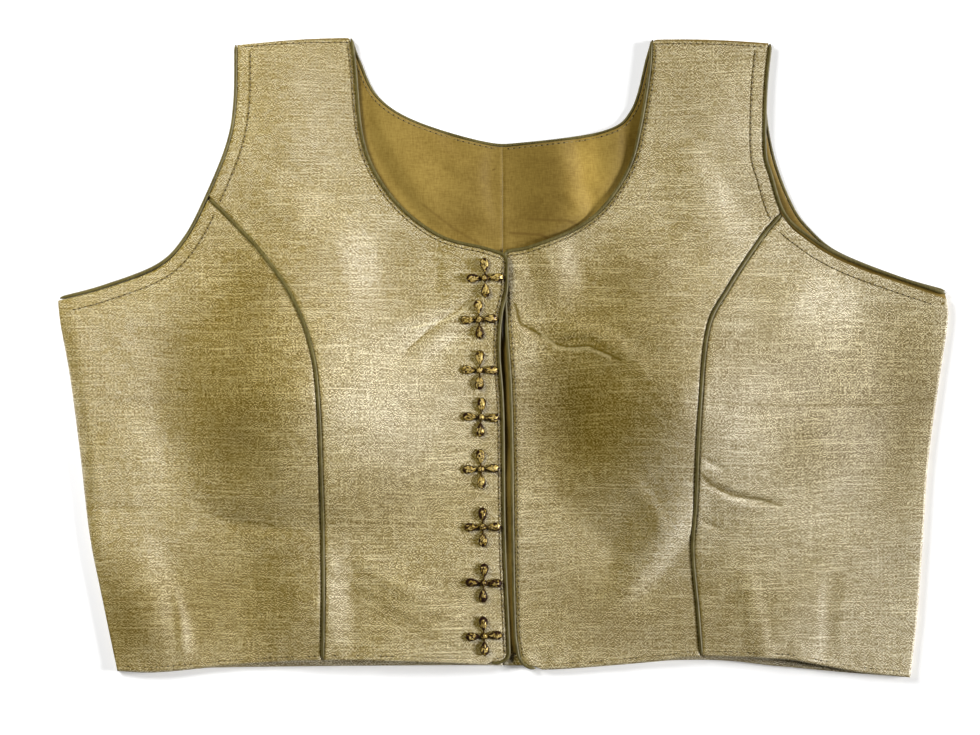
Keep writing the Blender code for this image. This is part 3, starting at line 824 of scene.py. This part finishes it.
def satin_piping(name, dark, pale):
    """Bias satin over cord: threads cross the cord at a slant, so the noise is turned by an eighth."""
    satin = Finish(name, {"Roughness": 0.52, "Specular IOR Level": 0.5})
    slant = satin.noise((1600, 260, 600), turn=math.radians(45))
    shade = satin.mixed(slant, satin.noise((60, 60, 60)), 0.6)
    satin.put("Base Color", satin.blend(satin.ranged(shade, 0.36, 0.66), dark, pale))
    satin.bump(slant, distance=0.08, strength=0.4)
    return satin.material


def sewing_thread(name, dark, pale):
    thread = Finish(name, {"Roughness": 0.55})
    strand = thread.noise((1800, 1800, 1800), detail=1.0)
    thread.put("Base Color", thread.blend(thread.ranged(strand, 0.3, 0.7), dark, pale))
    return thread.material


def gilt_metal(name, dark, pale):
    """Cast gilt: a slow noise dulls it here and there and roughens it."""
    gilt = Finish(name, {"Metallic": 0.8})
    wear = gilt.noise((500, 500, 500), detail=3.0, rough=0.6)
    gilt.put("Base Color", gilt.blend(gilt.ranged(wear, 0.35, 0.7), dark, pale))
    gilt.put("Roughness", gilt.ranged(wear, 0.3, 0.7, 0.22, 0.42))
    return gilt.material


def foiled_stone(name, stops):
    """Foil-backed crystal: each facet has its own depth, from champagne to brown, under a clear coat. The
    depth holds the stones' own smoke, painted shade on the rim and painted glints.
    """
    stone = Finish(name, {"Metallic": 0.3, "Roughness": 0.36, "Specular IOR Level": 0.25,
                          "Coat Weight": 0.08, "Coat Roughness": 0.15})
    cloudy = stone.ranged(stone.noise((900, 900, 900), rough=0.6), 0.3, 0.7, -0.18, 0.18)
    ramp = stone.node("ValToRGB", {"Fac": stone.calc("ADD", stone.attribute("depth"), cloudy)})
    first, last = ramp.color_ramp.elements
    first.position, last.position = stops[0][0], stops[-1][0]
    ramp.color_ramp.elements.new(stops[1][0])
    for element, (_, colour) in zip(ramp.color_ramp.elements, stops):
        element.color = (*colour, 1.0)
    stone.put("Base Color", ramp.outputs["Color"])
    return stone.material


def plain_floor(name):
    """White and slightly glowing, so that it stays as pale as the photo's cut-out ground."""
    return Finish(name, {"Base Color": (0.95, 0.95, 0.95), "Roughness": 0.9, "Specular IOR Level": 0.1,
                         "Emission Color": (1.0, 1.0, 1.0), "Emission Strength": 0.2}).material


SILK = slubbed_silk("champagne slubbed silk", *SILK_COLOURS)
LINING = cotton_lining("golden cotton lining", *LINING_COLOURS)
SATIN = satin_piping("olive satin piping", *SATIN_COLOURS)
THREAD = sewing_thread("matching sewing thread", *THREAD_COLOURS)
# Needle holes: dark discs of painted shade, a little proud of the cloth
NEEDLE_HOLE_SHADE = sewing_thread("needle holes", *HOLE_SHADE_COLOURS)
GILT = gilt_metal("cast gilt setting", *GILT_COLOURS)
STONE = foiled_stone("foiled champagne stone", STONE_COLOURS)


# Sewing

STITCH_SIDES = 6
HOLE_SIDES = 8
HOLE_LONG = 0.55
HOLE_WIDE = 0.36
HOLE_PROUD = 0.03
HOLE_DEEP = 0.25
LOOK_AHEAD = 0.4
TUBE_CAPS = (0.35, 0.75)

# A stitch's rings: place along it, share of the thread's radius, and lift in radii
STITCH_RINGS = ((-0.5, 0.25, -1.0), (-0.40, 0.9, -0.2), (-0.15, 1.0, 0.25), (0.15, 1.0, 0.25),
                (0.40, 0.9, -0.2), (0.5, 0.25, -1.0))

# Quads that close the top and the base of a needle hole
HOLE_TOP = ((0, 1, 2, 3), (0, 3, 4, 7), (4, 5, 6, 7))
HOLE_BASE = ((11, 10, 9, 8), (15, 12, 11, 8), (15, 14, 13, 12))


def around(sides):
    """Angles evenly spaced round a circle."""
    return np.arange(sides) * 2 * math.pi / sides


def frame_along(ahead):
    """Unit vectors ahead, to the left and up for each direction of a path."""
    ahead = ahead / np.linalg.norm(ahead, axis=1)[:, None]
    beside = np.cross((0, 0, 1), ahead)
    beside /= np.linalg.norm(beside, axis=1)[:, None]
    return ahead, beside, np.cross(ahead, beside)


def copies(faces, count, points_each):
    """The faces of one small shape, repeated for many of them."""
    offsets = np.arange(count)[:, None, None] * points_each
    return (np.asarray(faces)[None] + offsets).reshape(-1, np.shape(faces)[1])


def capsule():
    """A stitch along X, one millimetre long and of unit radius, thin at the ends where the thread dives
    into the cloth."""
    points = [[x, share * math.cos(a), share * math.sin(a) + lift]
              for x, share, lift in STITCH_RINGS for a in around(STITCH_SIDES)]
    return np.array(points), grid_faces(len(STITCH_RINGS), STITCH_SIDES, ring=True)[:, ::-1]


def rows_of_stitches(name, lines):
    """Stitches along lines in space, each stitch turned to its line's direction, and a dark disc of painted
    shade at each needle hole.
    """
    centres = []
    aheads = []
    for line in lines:
        length = travelled(line)[-1]
        count = max(2, int(length / STITCH_PITCH))
        share = (np.arange(count) + 0.5) / count
        step = LOOK_AHEAD * STITCH_PITCH / length
        centres.append(at_fractions(line, share))
        aheads.append(at_fractions(line, share + step) - at_fractions(line, share - step))
    centre = np.vstack(centres)
    ahead, beside, up = frame_along(np.vstack(aheads))
    local, faces = capsule()
    points = (centre[:, None] + STITCH_LENGTH * local[None, :, :1] * ahead[:, None]
              + THREAD_RADIUS * local[None, :, 1:2] * beside[:, None]
              + THREAD_RADIUS * local[None, :, 2:] * up[:, None])
    threads = put_mesh(f"{name}_thread", points, copies(faces, len(centre), len(local)), THREAD)

    # A dark disc of painted shade at each needle hole, standing a little proud of the cloth
    turn = around(HOLE_SIDES)
    hole = centre + 0.5 * STITCH_PITCH * ahead + HOLE_PROUD * up
    ring = (hole[:, None] + HOLE_LONG * np.cos(turn)[None, :, None] * ahead[:, None]
            + HOLE_WIDE * np.sin(turn)[None, :, None] * beside[:, None])
    ring = np.concatenate((ring, ring - HOLE_DEEP * up[:, None]), axis=1)
    near = np.arange(HOLE_SIDES)
    far = (near + 1) % HOLE_SIDES
    side = np.stack((near, near + HOLE_SIDES, far + HOLE_SIDES, far), axis=1)
    faces = np.vstack((side, HOLE_TOP, HOLE_BASE))
    hole_shades = put_mesh(f"{name}_holes", ring, copies(faces, len(hole), 2 * HOLE_SIDES), NEEDLE_HOLE_SHADE)
    return [threads, hole_shades]


def satin_tube(node, path, radius):
    """A round cord carried along a path, for its node: each ring is the path's point plus radius times
    the cosine sideways and the sine upwards, closed by a dome at each end."""
    _, beside, up = frame_along(np.gradient(path, axis=0))
    caps = radius * np.array(TUBE_CAPS)
    radii = np.concatenate((caps, np.full(len(path) - 4, radius), caps[::-1]))
    turn = around(PIPING_SIDES)
    points = (path[:, None] + radii[:, None, None] * (np.cos(turn)[None, :, None] * beside[:, None]
                                                      + np.sin(turn)[None, :, None] * up[:, None]))
    faces = grid_faces(len(path), PIPING_SIDES, ring=True)[:, ::-1].tolist()
    faces.append(list(range(PIPING_SIDES))[::-1])
    faces.append(list(range((len(path) - 1) * PIPING_SIDES, len(path) * PIPING_SIDES)))
    piece = put_mesh(node.replace("piping", "satin"), points, faces, SATIN)
    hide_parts(node)
    return piece


def on_front(line, side, above):
    """A plan line laid on the front's cloth, with its height."""
    height = FRONT_MID + front_rise(line[:, 0], line[:, 1], side) + above
    return np.column_stack((line, height))


# The fronts

def puckered(x, y, row):
    """Puckers whose phase wanders: height times the sine of the slanted way over the wave length, plus
    wander times a slower sine along the same edge."""
    height, slant, length, wander, wander_length = row
    return height * np.sin((x + slant * y) / length + wander * np.sin(x / wander_length))


def edge_relief(plan, piped, rows, hem):
    """What sewing does to the cloth near its edges: it turns down into a piped seam, sinks along each
    row of stitches and stands up over the folded hem."""
    x, y = plan[..., 0], plan[..., 1]
    from_hem = away_from(plan, hem)
    lift = np.zeros(plan.shape[:-1])
    for lines, (depth, reach) in ((piped, SEAM_SINK), (rows, STITCH_SINK)):
        for line in lines:
            lift -= depth * bell(away_from(plan, line), reach)
    patches = smooth_step(0.5 + 0.5 * np.sin(x / HEM_PUCKER_PATCH))
    lift += (sum(puckered(x, y, row) for row in HEM_PUCKERS) * patches
             * bell(from_hem - HEM_ROW, HEM_PUCKER_REACH))
    patches = smooth_step(0.5 + 0.6 * np.sin(y / EDGE_RIPPLE_PATCH + 1))
    lift += puckered(y, x, EDGE_RIPPLE) * patches * bell(away_from(plan, rows[0]), EDGE_RIPPLE_REACH)
    lift += HEM_STAND * smooth_step((HEM_ROW + HEM_STAND_PAST_ROW - from_hem) / HEM_STAND_FADE)
    return lift - HEM_SINK[0] * bell(from_hem, HEM_SINK[1])


def front_lines(sign, tables):
    """The edges and stitch rows of one front, worked out from its tables."""
    armhole, neck, centre, princess, seam, hem = (curve(table) for table in tables)
    turn_up = hem[::-1] + (0, PIPING_RADIUS)
    top_corner = rounded(neck, centre)
    low_corner = rounded(centre, turn_up)
    edge = np.vstack((neck, top_corner, centre, low_corner, turn_up[:1]))
    inner_edge, corner_end = split_at(moved_left(edge, PIPING_INSET * sign),
                                      low_corner[len(low_corner) // 2])
    inner_armhole = moved_left(armhole, -PIPING_INSET * sign)
    upper, lower = split_at(inner_armhole, princess[0])
    hem_side, hem_centre = split_at(hem, princess[-1])
    lines = {
        "edge": edge,
        "armhole": armhole,
        "princess": trimmed(princess, 2 * PIPING_RADIUS + PRINCESS_CLEAR, PIPING_RADIUS),
        "inner_edge": inner_edge,
        "upper": upper,
        "lower": lower,
        "seam": seam,
        "centre_seam": trimmed(moved_left(princess, -PIPING_INSET * sign), SEAM_START, 0),
        "side_seam": trimmed(moved_left(princess, PIPING_INSET * sign), SEAM_START, 0),
        "hem_side": hem_side,
        "hem_centre": np.vstack((trimmed(hem_centre, 0, CORNER_START), corner_end[::-1])),
        "edge_row": moved_left(edge, (PIPING_INSET + EDGE_ROW) * sign)[2:],
        "armhole_row": moved_left(armhole, -(PIPING_INSET + ARMHOLE_ROW) * sign),
        "hem_row": hem + (0, HEM_ROW),
    }
    lines["shoulder"] = shoulder_line(upper[0], inner_edge[0])
    return lines


def front_panel(name, side, edges, count, piped, rows, hem):
    """One front panel with its stitches: a Coons patch in plan, raised by the front's rise and its sewn
    relief."""
    node = f"front_{name}_{side}"
    plan = face_up(patch(*edges, *count), side)
    height = FRONT_MID + front_rise(plan[..., 0], plan[..., 1], side) + edge_relief(plan, piped, rows, hem)
    piece = cloth_sheet(node, plan, height, SILK, FRONT_WALL)
    give_painted_shading(piece, plan, SILK_PAINTED_LIGHT_AND_SHADE)
    lines = [on_front(row, side, FRONT_WALL / 2 + THREAD_PROUD) for row in rows]
    return piece, plan, rows_of_stitches(f"topstitch_{name}_{side}", lines)


def short_of_seams(row, stops):
    """A row of stitches that stops a few points short of the seams at its two ends."""
    return row[stops[0]:-stops[1]]


def make_front(side, sign, tables):
    """Both panels of one front, with the piping round them."""
    lines = front_lines(sign, tables)
    princess = lines["princess"]
    cut_row = lines["armhole_row"]
    armhole_rows = split_at(cut_row, princess[np.argmin(away_from(princess, cut_row))])
    hem_rows = split_at(lines["hem_row"], princess[-1])

    for name, line in (("front", lines["edge"]), ("armhole_front", lines["armhole"]),
                       ("princess", princess)):
        path = on_front(spaced(line, PIPING_STEP), side, PIPING_LIFT)
        satin_tube(f"piping_{name}_{side}", path, PIPING_RADIUS)

    rows = [lines["edge_row"], short_of_seams(armhole_rows[0], (3, 3)), short_of_seams(hem_rows[1], (4, 14)),
            trimmed(lines["shoulder"] - (0, SHOULDER_ROW), SHOULDER_ROW, SHOULDER_ROW)]
    edges = (np.vstack((lines["upper"][:-1], lines["centre_seam"])), lines["inner_edge"], lines["shoulder"],
             lines["hem_centre"])
    piece, plan, sewn = front_panel("centre", side, edges, CENTRE_GRID,
                                    [lines["upper"], lines["centre_seam"], lines["inner_edge"]], rows,
                                    lines["hem_centre"])

    rows = [short_of_seams(armhole_rows[1], (4, 6)), short_of_seams(hem_rows[0], (3, 4))]
    edges = (lines["seam"], lines["side_seam"], lines["lower"][::-1], lines["hem_side"])
    piece, plan, sewn = front_panel("side", side, edges, SIDE_GRID, [lines["lower"], lines["side_seam"]],
                                    rows, lines["hem_side"])


# The back, its lining and its hem

def half(points, sign):
    """The run of a curve on one side of the centre back, from outside in."""
    kept = points[points[:, 0] * sign > CURVE_STEP]
    if sign > 0:
        kept = kept[::-1]
    middle = (sign * CENTRE_GAP, np.interp(sign * CENTRE_GAP, points[:, 0], points[:, 1]))
    return np.vstack((kept, middle))


def back_grid(sign, armhole, seam, hem_rise, shoulder_rise, rows, columns):
    """Half of the back in plan. Its outer edge is armhole and side seam, its inner edge the centre back,
    its top the shoulder and the neck."""
    neck = half(moved_left(curve(NECK_BACK), -PIPING_INSET), sign)
    armhole = moved_left(curve(armhole), -PIPING_INSET * sign)
    rise = (0, shoulder_rise)
    shoulder = shoulder_line(armhole[0] + rise, neck[0] + rise)
    seam = trimmed(curve(seam), 0, hem_rise)
    hem = half(curve(HEM_BACK), sign) + (0, hem_rise)
    outer = np.vstack((armhole, seam))
    inner = np.array((neck[-1], hem[-1]))
    return patch(outer, inner, np.vstack((shoulder, neck)), hem, rows, columns), neck


def lining_relief(x, y):
    """Soft folds of the lining where the neck leaves it open, and its swell into the front opening. It
    lies flat elsewhere under the fronts."""
    right, left = NECK_LINES
    room = np.minimum(x - np.interp(y, right[::-1, 1], right[::-1, 0]),
                      np.interp(y, left[::-1, 1], left[::-1, 0]) - x)
    rise = sum(fold(x, y, row, CREASE_ENDS) for row in LINING_FOLDS)
    low, high = OPENING_ENDS
    under = (UNDER_OPENING * bell(x - OPENING_MIDDLE, OPENING_REACH)
             * smooth_step((high - y) / OPENING_FADE) * smooth_step((y - low) / OPENING_FADE))
    return np.maximum(rise * smooth_step(room / NECK_FADE), 0) + under


def make_back_hem(side, sign):
    """The back's turned-up hem: a strip between the hem line and its copy, a turn higher."""
    across = np.linspace(0, 1, HEM_COLUMNS)[None, :, None]
    plan = face_up(half(curve(HEM_BACK), sign)[:, None] + across * np.array((0.0, HEM_TURN)), side)
    return cloth_sheet(f"back_hem_{side}", plan, LINING_LOW + LINING_WALL / 2, SILK, LINING_WALL)


def make_back(side, sign, armhole, seam):
    """The outer back, with its turned hem, and the lining on it."""
    plan, _ = back_grid(sign, armhole, seam, 0.0, SHOULDER_SETBACK, *BACK_GRID)
    plan = face_up(plan, side)
    piece = cloth_sheet(f"back_{side}", plan, BACK_WALL / 2, SILK, BACK_WALL)
    make_back_hem(side, sign)

    plan, neck = back_grid(sign, armhole, seam, HEM_TURN + LINING_OVER_HEM, -LINING_SETBACK, *BACK_GRID)
    plan = face_up(plan, side)
    height = LINING_LOW + LINING_WALL / 2 + lining_relief(plan[..., 0], plan[..., 1])
    piece = cloth_sheet(f"back_lining_{side}", plan, height, LINING, LINING_WALL)
    give_painted_shading(piece, plan, LINING_PAINTED_LIGHT_AND_SHADE)
    row = trimmed(moved_left(neck, NECK_BACK_ROW * sign), NECK_ROW_STOP, NECK_ROW_STOP)
    height = LINING_LOW + LINING_WALL + LINING_THREAD_PROUD + lining_relief(row[:, 0], row[:, 1])
    sewn = rows_of_stitches(f"topstitch_neck_{side}", [np.column_stack((row, height))])


def make_back_piping():
    for name, table in (("armhole_back_right", ARMHOLE_RIGHT), ("armhole_back_left", ARMHOLE_BACK_LEFT),
                        ("neck_back", NECK_BACK)):
        line = curve(table, PIPING_STEP)
        path = np.column_stack((line, np.full(len(line), BACK_PIPING_MID)))
        satin_tube(f"piping_{name}", path, BACK_PIPING_RADIUS)


# Brooches

# Petals, stones, cups, claws and bars: half sizes, places from the middle, and how many points go round
PETAL_LONG = 4.0
PETAL_WIDE = 2.95
PETAL_PLACES = (6.1, 6.8, 6.1, 6.8)
ROUND_STONE = 1.7
STONE_SIDES = 9
MIDDLE_SIDES = 8
CUP_SIDES = 28
MIDDLE_CUP_SIDES = 20
CLAW_SIDES = 8
BAR_SIDES = 6
STONE_IN_LENGTH = 0.25
STONE_IN_WIDTH = 0.2
MIDDLE_CUP_WALL = 0.3
CLAW_RADIUS = 0.36
PETAL_CLAW_HEIGHT = 1.0
MIDDLE_CLAW_HEIGHT = 1.35
MIDDLE_CLAW_OUT = 0.1
BAR_SIZE = (1.6, 0.5)
BAR_PLACE = 2.2
BROOCH_SEAT = 0.55
BROOCH_MIDDLE = 1.55
SLOPE_STEP = 6.0

# Rings from the base up: share of the outline, height
PETAL_CROWN = ((0.96, 0.75), (1.0, 1.3), (0.62, 2.35), (0.30, 2.6))
MIDDLE_CROWN = ((0.95, 1.0), (1.0, 1.7), (0.62, 2.5), (0.3, 2.75))
PETAL_CUP = ((0.86, 0.0), (0.97, 0.35), (1.02, 1.1), (0.99, 1.38), (0.94, 1.36), (0.90, 1.0))
MIDDLE_CUP = ((0.9, 0.1), (1.0, 0.6), (1.0, 1.5), (0.9, 1.7), (0.84, 1.2))
CLAW = ((0.5, 0.0), (1.0, 0.35), (0.9, 0.7), (0.4, 0.95))
BAR = ((1.0, 0.25), (1.0, 0.8))

# Claws sit at these points of a petal's outline
CLAW_POINTS = (9, 14, 19)
CLAW_INSET = 0.98

# A stone's facets: chance of a deeper one, painting light and dark glints, and how painted shade darkens the
# rim below the table
PAINTED_GLINT_SPREAD = 0.44
TABLE_LOW = 2.45
CROWN_DROP = 1.2
RIM_PAINTED_SHADE = 0.5


def pear_outline(count, long, wide):
    """A pear that points to -X: the cosine lengthways, and across it the sine times the sine of half the
    angle from the point."""
    angle = around(count)
    half_width = wide * np.sin(angle) * np.abs(np.sin(angle / 2)) ** 0.75
    return np.stack((-long * np.cos(angle), half_width), axis=1)


def round_outline(count, radius):
    angle = around(count)
    return radius * np.stack((np.cos(angle), np.sin(angle)), axis=1)


def ringed(outline, rings):
    """Rings of an outline, each scaled by a share and set at a height, closed at both ends by a point."""
    layers = [np.column_stack((outline * share, np.full(len(outline), height))) for share, height in rings]
    points = np.vstack([[[0, 0, rings[0][1]]]] + layers + [[[0, 0, rings[-1][1]]]])
    count = len(outline)
    near = 1 + np.arange(count)
    far = 1 + (np.arange(count) + 1) % count
    strips = [np.stack((0 * near, far, near), axis=1)]
    for start in range(0, (len(rings) - 1) * count, count):
        strips.append(np.stack((near + start, far + start, far + start + count), axis=1))
        strips.append(np.stack((near + start, far + start + count, near + start + count), axis=1))
    last = (len(rings) - 1) * count
    strips.append(np.stack((near + last, far + last, 0 * near + len(points) - 1), axis=1))
    return points, np.stack(strips, axis=1).reshape(-1, 3)


def turned(points, degrees):
    angle = math.radians(degrees)
    spin = np.array(((math.cos(angle), -math.sin(angle), 0), (math.sin(angle), math.cos(angle), 0),
                     (0, 0, 1)))
    return points @ spin.T


def joined(parts):
    """Several point and face arrays as one."""
    points = np.vstack([part[0] for part in parts])
    starts = np.cumsum([0] + [len(part[0]) for part in parts[:-1]])
    return points, np.vstack([part[1] + start for part, start in zip(parts, starts)])


def petal_turned(shape, quarter):
    """A petal's shape set beside the middle stone, pointing at it."""
    points, faces = shape
    return turned(points + (PETAL_PLACES[quarter], 0, 0), 90 * quarter), faces


def stones_of_brooch():
    """Four pear stones and a round one, each a crown of flat facets under a small table."""
    outline = pear_outline(STONE_SIDES, PETAL_LONG - STONE_IN_LENGTH, PETAL_WIDE - STONE_IN_WIDTH)
    pear = ringed(outline, PETAL_CROWN)
    middle = ringed(round_outline(MIDDLE_SIDES, ROUND_STONE), MIDDLE_CROWN)
    return joined([petal_turned(pear, quarter) for quarter in range(4)] + [middle])


def setting_of_brooch():
    """Gilt cups with a thin rim round each stone, a claw at each end and bars to the middle."""
    outline = pear_outline(CUP_SIDES, PETAL_LONG, PETAL_WIDE)
    pear = ringed(outline, PETAL_CUP)
    claw, claw_faces = ringed(round_outline(CLAW_SIDES, CLAW_RADIUS), CLAW)
    bar, bar_faces = ringed(round_outline(BAR_SIDES, 1.0) * BAR_SIZE, BAR)
    parts = [ringed(round_outline(MIDDLE_CUP_SIDES, ROUND_STONE + MIDDLE_CUP_WALL), MIDDLE_CUP)]
    for quarter in range(4):
        parts.append(petal_turned(pear, quarter))
        parts.append((turned(bar + (BAR_PLACE, 0, 0), 90 * quarter), bar_faces))
        for point in CLAW_POINTS:
            x, y = outline[point] * CLAW_INSET
            parts.append(petal_turned((claw + (x, y, PETAL_CLAW_HEIGHT), claw_faces), quarter))
        corner = claw + (ROUND_STONE + MIDDLE_CLAW_OUT, 0, MIDDLE_CLAW_HEIGHT)
        parts.append((turned(corner, 90 * quarter + 45), claw_faces))
    return joined(parts)


def brooch_spin(x, y):
    """The turn that lays a brooch on the cloth's own slope, as columns right, ahead and up."""
    across = front_rise(np.array([x + SLOPE_STEP, x - SLOPE_STEP]), np.array([y, y]), "right")
    along = front_rise(np.array([x, x]), np.array([y + SLOPE_STEP, y - SLOPE_STEP]), "right")
    slope = np.array((across[0] - across[1], along[0] - along[1])) / (2 * SLOPE_STEP)
    up = np.array((-slope[0], -slope[1], 1.0))
    up /= np.linalg.norm(up)
    right = np.cross((0, 1, 0), up)
    right /= np.linalg.norm(right)
    return np.stack((right, np.cross(up, right), up), axis=1)


def make_brooches():
    """Each brooch lies on the cloth's own slope, as its solid does, in the middle of that solid's box."""
    chance = np.random.default_rng(7)
    setting, setting_faces = setting_of_brooch()
    stones, stone_faces = stones_of_brooch()
    below_table = (TABLE_LOW - stones[stone_faces].mean(axis=1)[:, 2]) / CROWN_DROP
    # Painted shade on the facets of the rim below the table
    rim = RIM_PAINTED_SHADE * np.clip(below_table, 0, 1)
    for number, (x, y, turn, smoke) in enumerate(BROOCHES, start=1):
        node = f"brooch_{number}"
        spin = brooch_spin(x, y)
        low, high = (np.array(corner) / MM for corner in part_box(node))
        middle = (low + high) / 2 - BROOCH_MIDDLE * spin[:, 2]
        middle[2] = FRONT_MID + float(front_rise(x, y, "right")) + BROOCH_SEAT

        placed = turned(setting, turn) @ spin.T + middle
        piece = put_mesh(f"{node}_setting", placed, setting_faces, GILT)
        piece.data.set_sharp_from_angle(angle=math.radians(40))
        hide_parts(node)

        placed = turned(stones, turn) @ spin.T + middle
        piece = put_mesh(f"{node}_stones", placed, stone_faces, STONE, smooth=False)
        # Each facet's depth: the stones' own smoke, painted shade on the rim and chance light and dark
        # painted as glints
        smoke_and_painted_facet_shade = np.clip(smoke + rim + chance.normal(0, PAINTED_GLINT_SPREAD, len(stone_faces)), 0, 1)
        depth = piece.data.attributes.new("depth", "FLOAT", "FACE")
        depth.data.foreach_set("value", smoke_and_painted_facet_shade.astype(np.float32))


# Floor, light and camera

PHOTO_WIDTH = 980
MM_PER_PIXEL = 0.55
VIEW_MIDDLE = (-7.0, -5.5)
CAMERA_HEIGHT = 1650.0
SENSOR_WIDTH = 36.0
FLOOR_HALF = 3000.0
FLOOR_DROP = 0.3

# Lamps in metres and watts: place, size, power
WINDOW = ((4.0, 0.0, 1.65), 1.1, 246.0)
LAMP = ((-0.62, 0.42, 0.65), 0.4, 9.6)
ROOM_COLOUR = (1.0, 0.97, 0.90, 1.0)
ROOM_STRENGTH = 0.025


def lay_floor():
    corners = np.array(((-1, -1, 0), (1, -1, 0), (1, 1, 0), (-1, 1, 0))) * FLOOR_HALF
    mesh = bpy.data.meshes.new("floor")
    mesh.from_pydata((corners * MM).tolist(), [], [(0, 1, 2, 3)])
    mesh.materials.append(plain_floor("white table"))
    floor = bpy.data.objects.new("floor", mesh)
    bpy.context.scene.collection.objects.link(floor)
    floor.location = (0, 0, -FLOOR_DROP * MM)


def add_light(name, place, size, power):
    """A soft square light that faces the middle of the blouse."""
    lamp = bpy.data.lights.new(name, "AREA")
    lamp.size = size
    lamp.energy = power
    light = bpy.data.objects.new(name, lamp)
    light.location = place
    x, y, z = place
    light.rotation_euler = (math.atan2(math.hypot(x, y), z), 0, math.atan2(y, x) + math.pi / 2)
    bpy.context.scene.collection.objects.link(light)
    return light


def set_light():
    """A window to the right rakes the cloth, and a lamp near the upper left fills in without a shine."""
    add_light("window", *WINDOW)
    add_light("lamp", *LAMP).visible_glossy = False
    world = bpy.data.worlds.new("pale room")
    world.use_nodes = True
    sky = world.node_tree.nodes["Background"]
    sky.inputs["Color"].default_value = ROOM_COLOUR
    sky.inputs["Strength"].default_value = ROOM_STRENGTH
    bpy.context.scene.world = world
    bpy.context.scene.view_settings.view_transform = "Standard"


def set_camera():
    data = bpy.data.cameras.new("camera")
    data.sensor_width = SENSOR_WIDTH
    data.lens = SENSOR_WIDTH * CAMERA_HEIGHT / (PHOTO_WIDTH * MM_PER_PIXEL)
    data.clip_start = 0.01
    camera = bpy.data.objects.new("camera", data)
    camera.location = (VIEW_MIDDLE[0] * MM, VIEW_MIDDLE[1] * MM, CAMERA_HEIGHT * MM)
    bpy.context.scene.collection.objects.link(camera)
    bpy.context.scene.camera = camera


def main():
    set_camera()
    set_light()
    lay_floor()
    make_back("right", -1, ARMHOLE_RIGHT, SIDE_RIGHT)
    make_back("left", 1, ARMHOLE_BACK_LEFT, SIDE_LEFT)
    make_back_piping()
    make_front("right", -1, (ARMHOLE_RIGHT, NECK_FRONT_RIGHT, CENTRE_RIGHT, PRINCESS_RIGHT, SIDE_RIGHT,
                             HEM_FRONT_RIGHT))
    make_front("left", 1, (ARMHOLE_FRONT_LEFT, NECK_FRONT_LEFT, CENTRE_LEFT, PRINCESS_LEFT, SIDE_LEFT,
                           HEM_FRONT_LEFT[::-1]))
    make_brooches()


main()
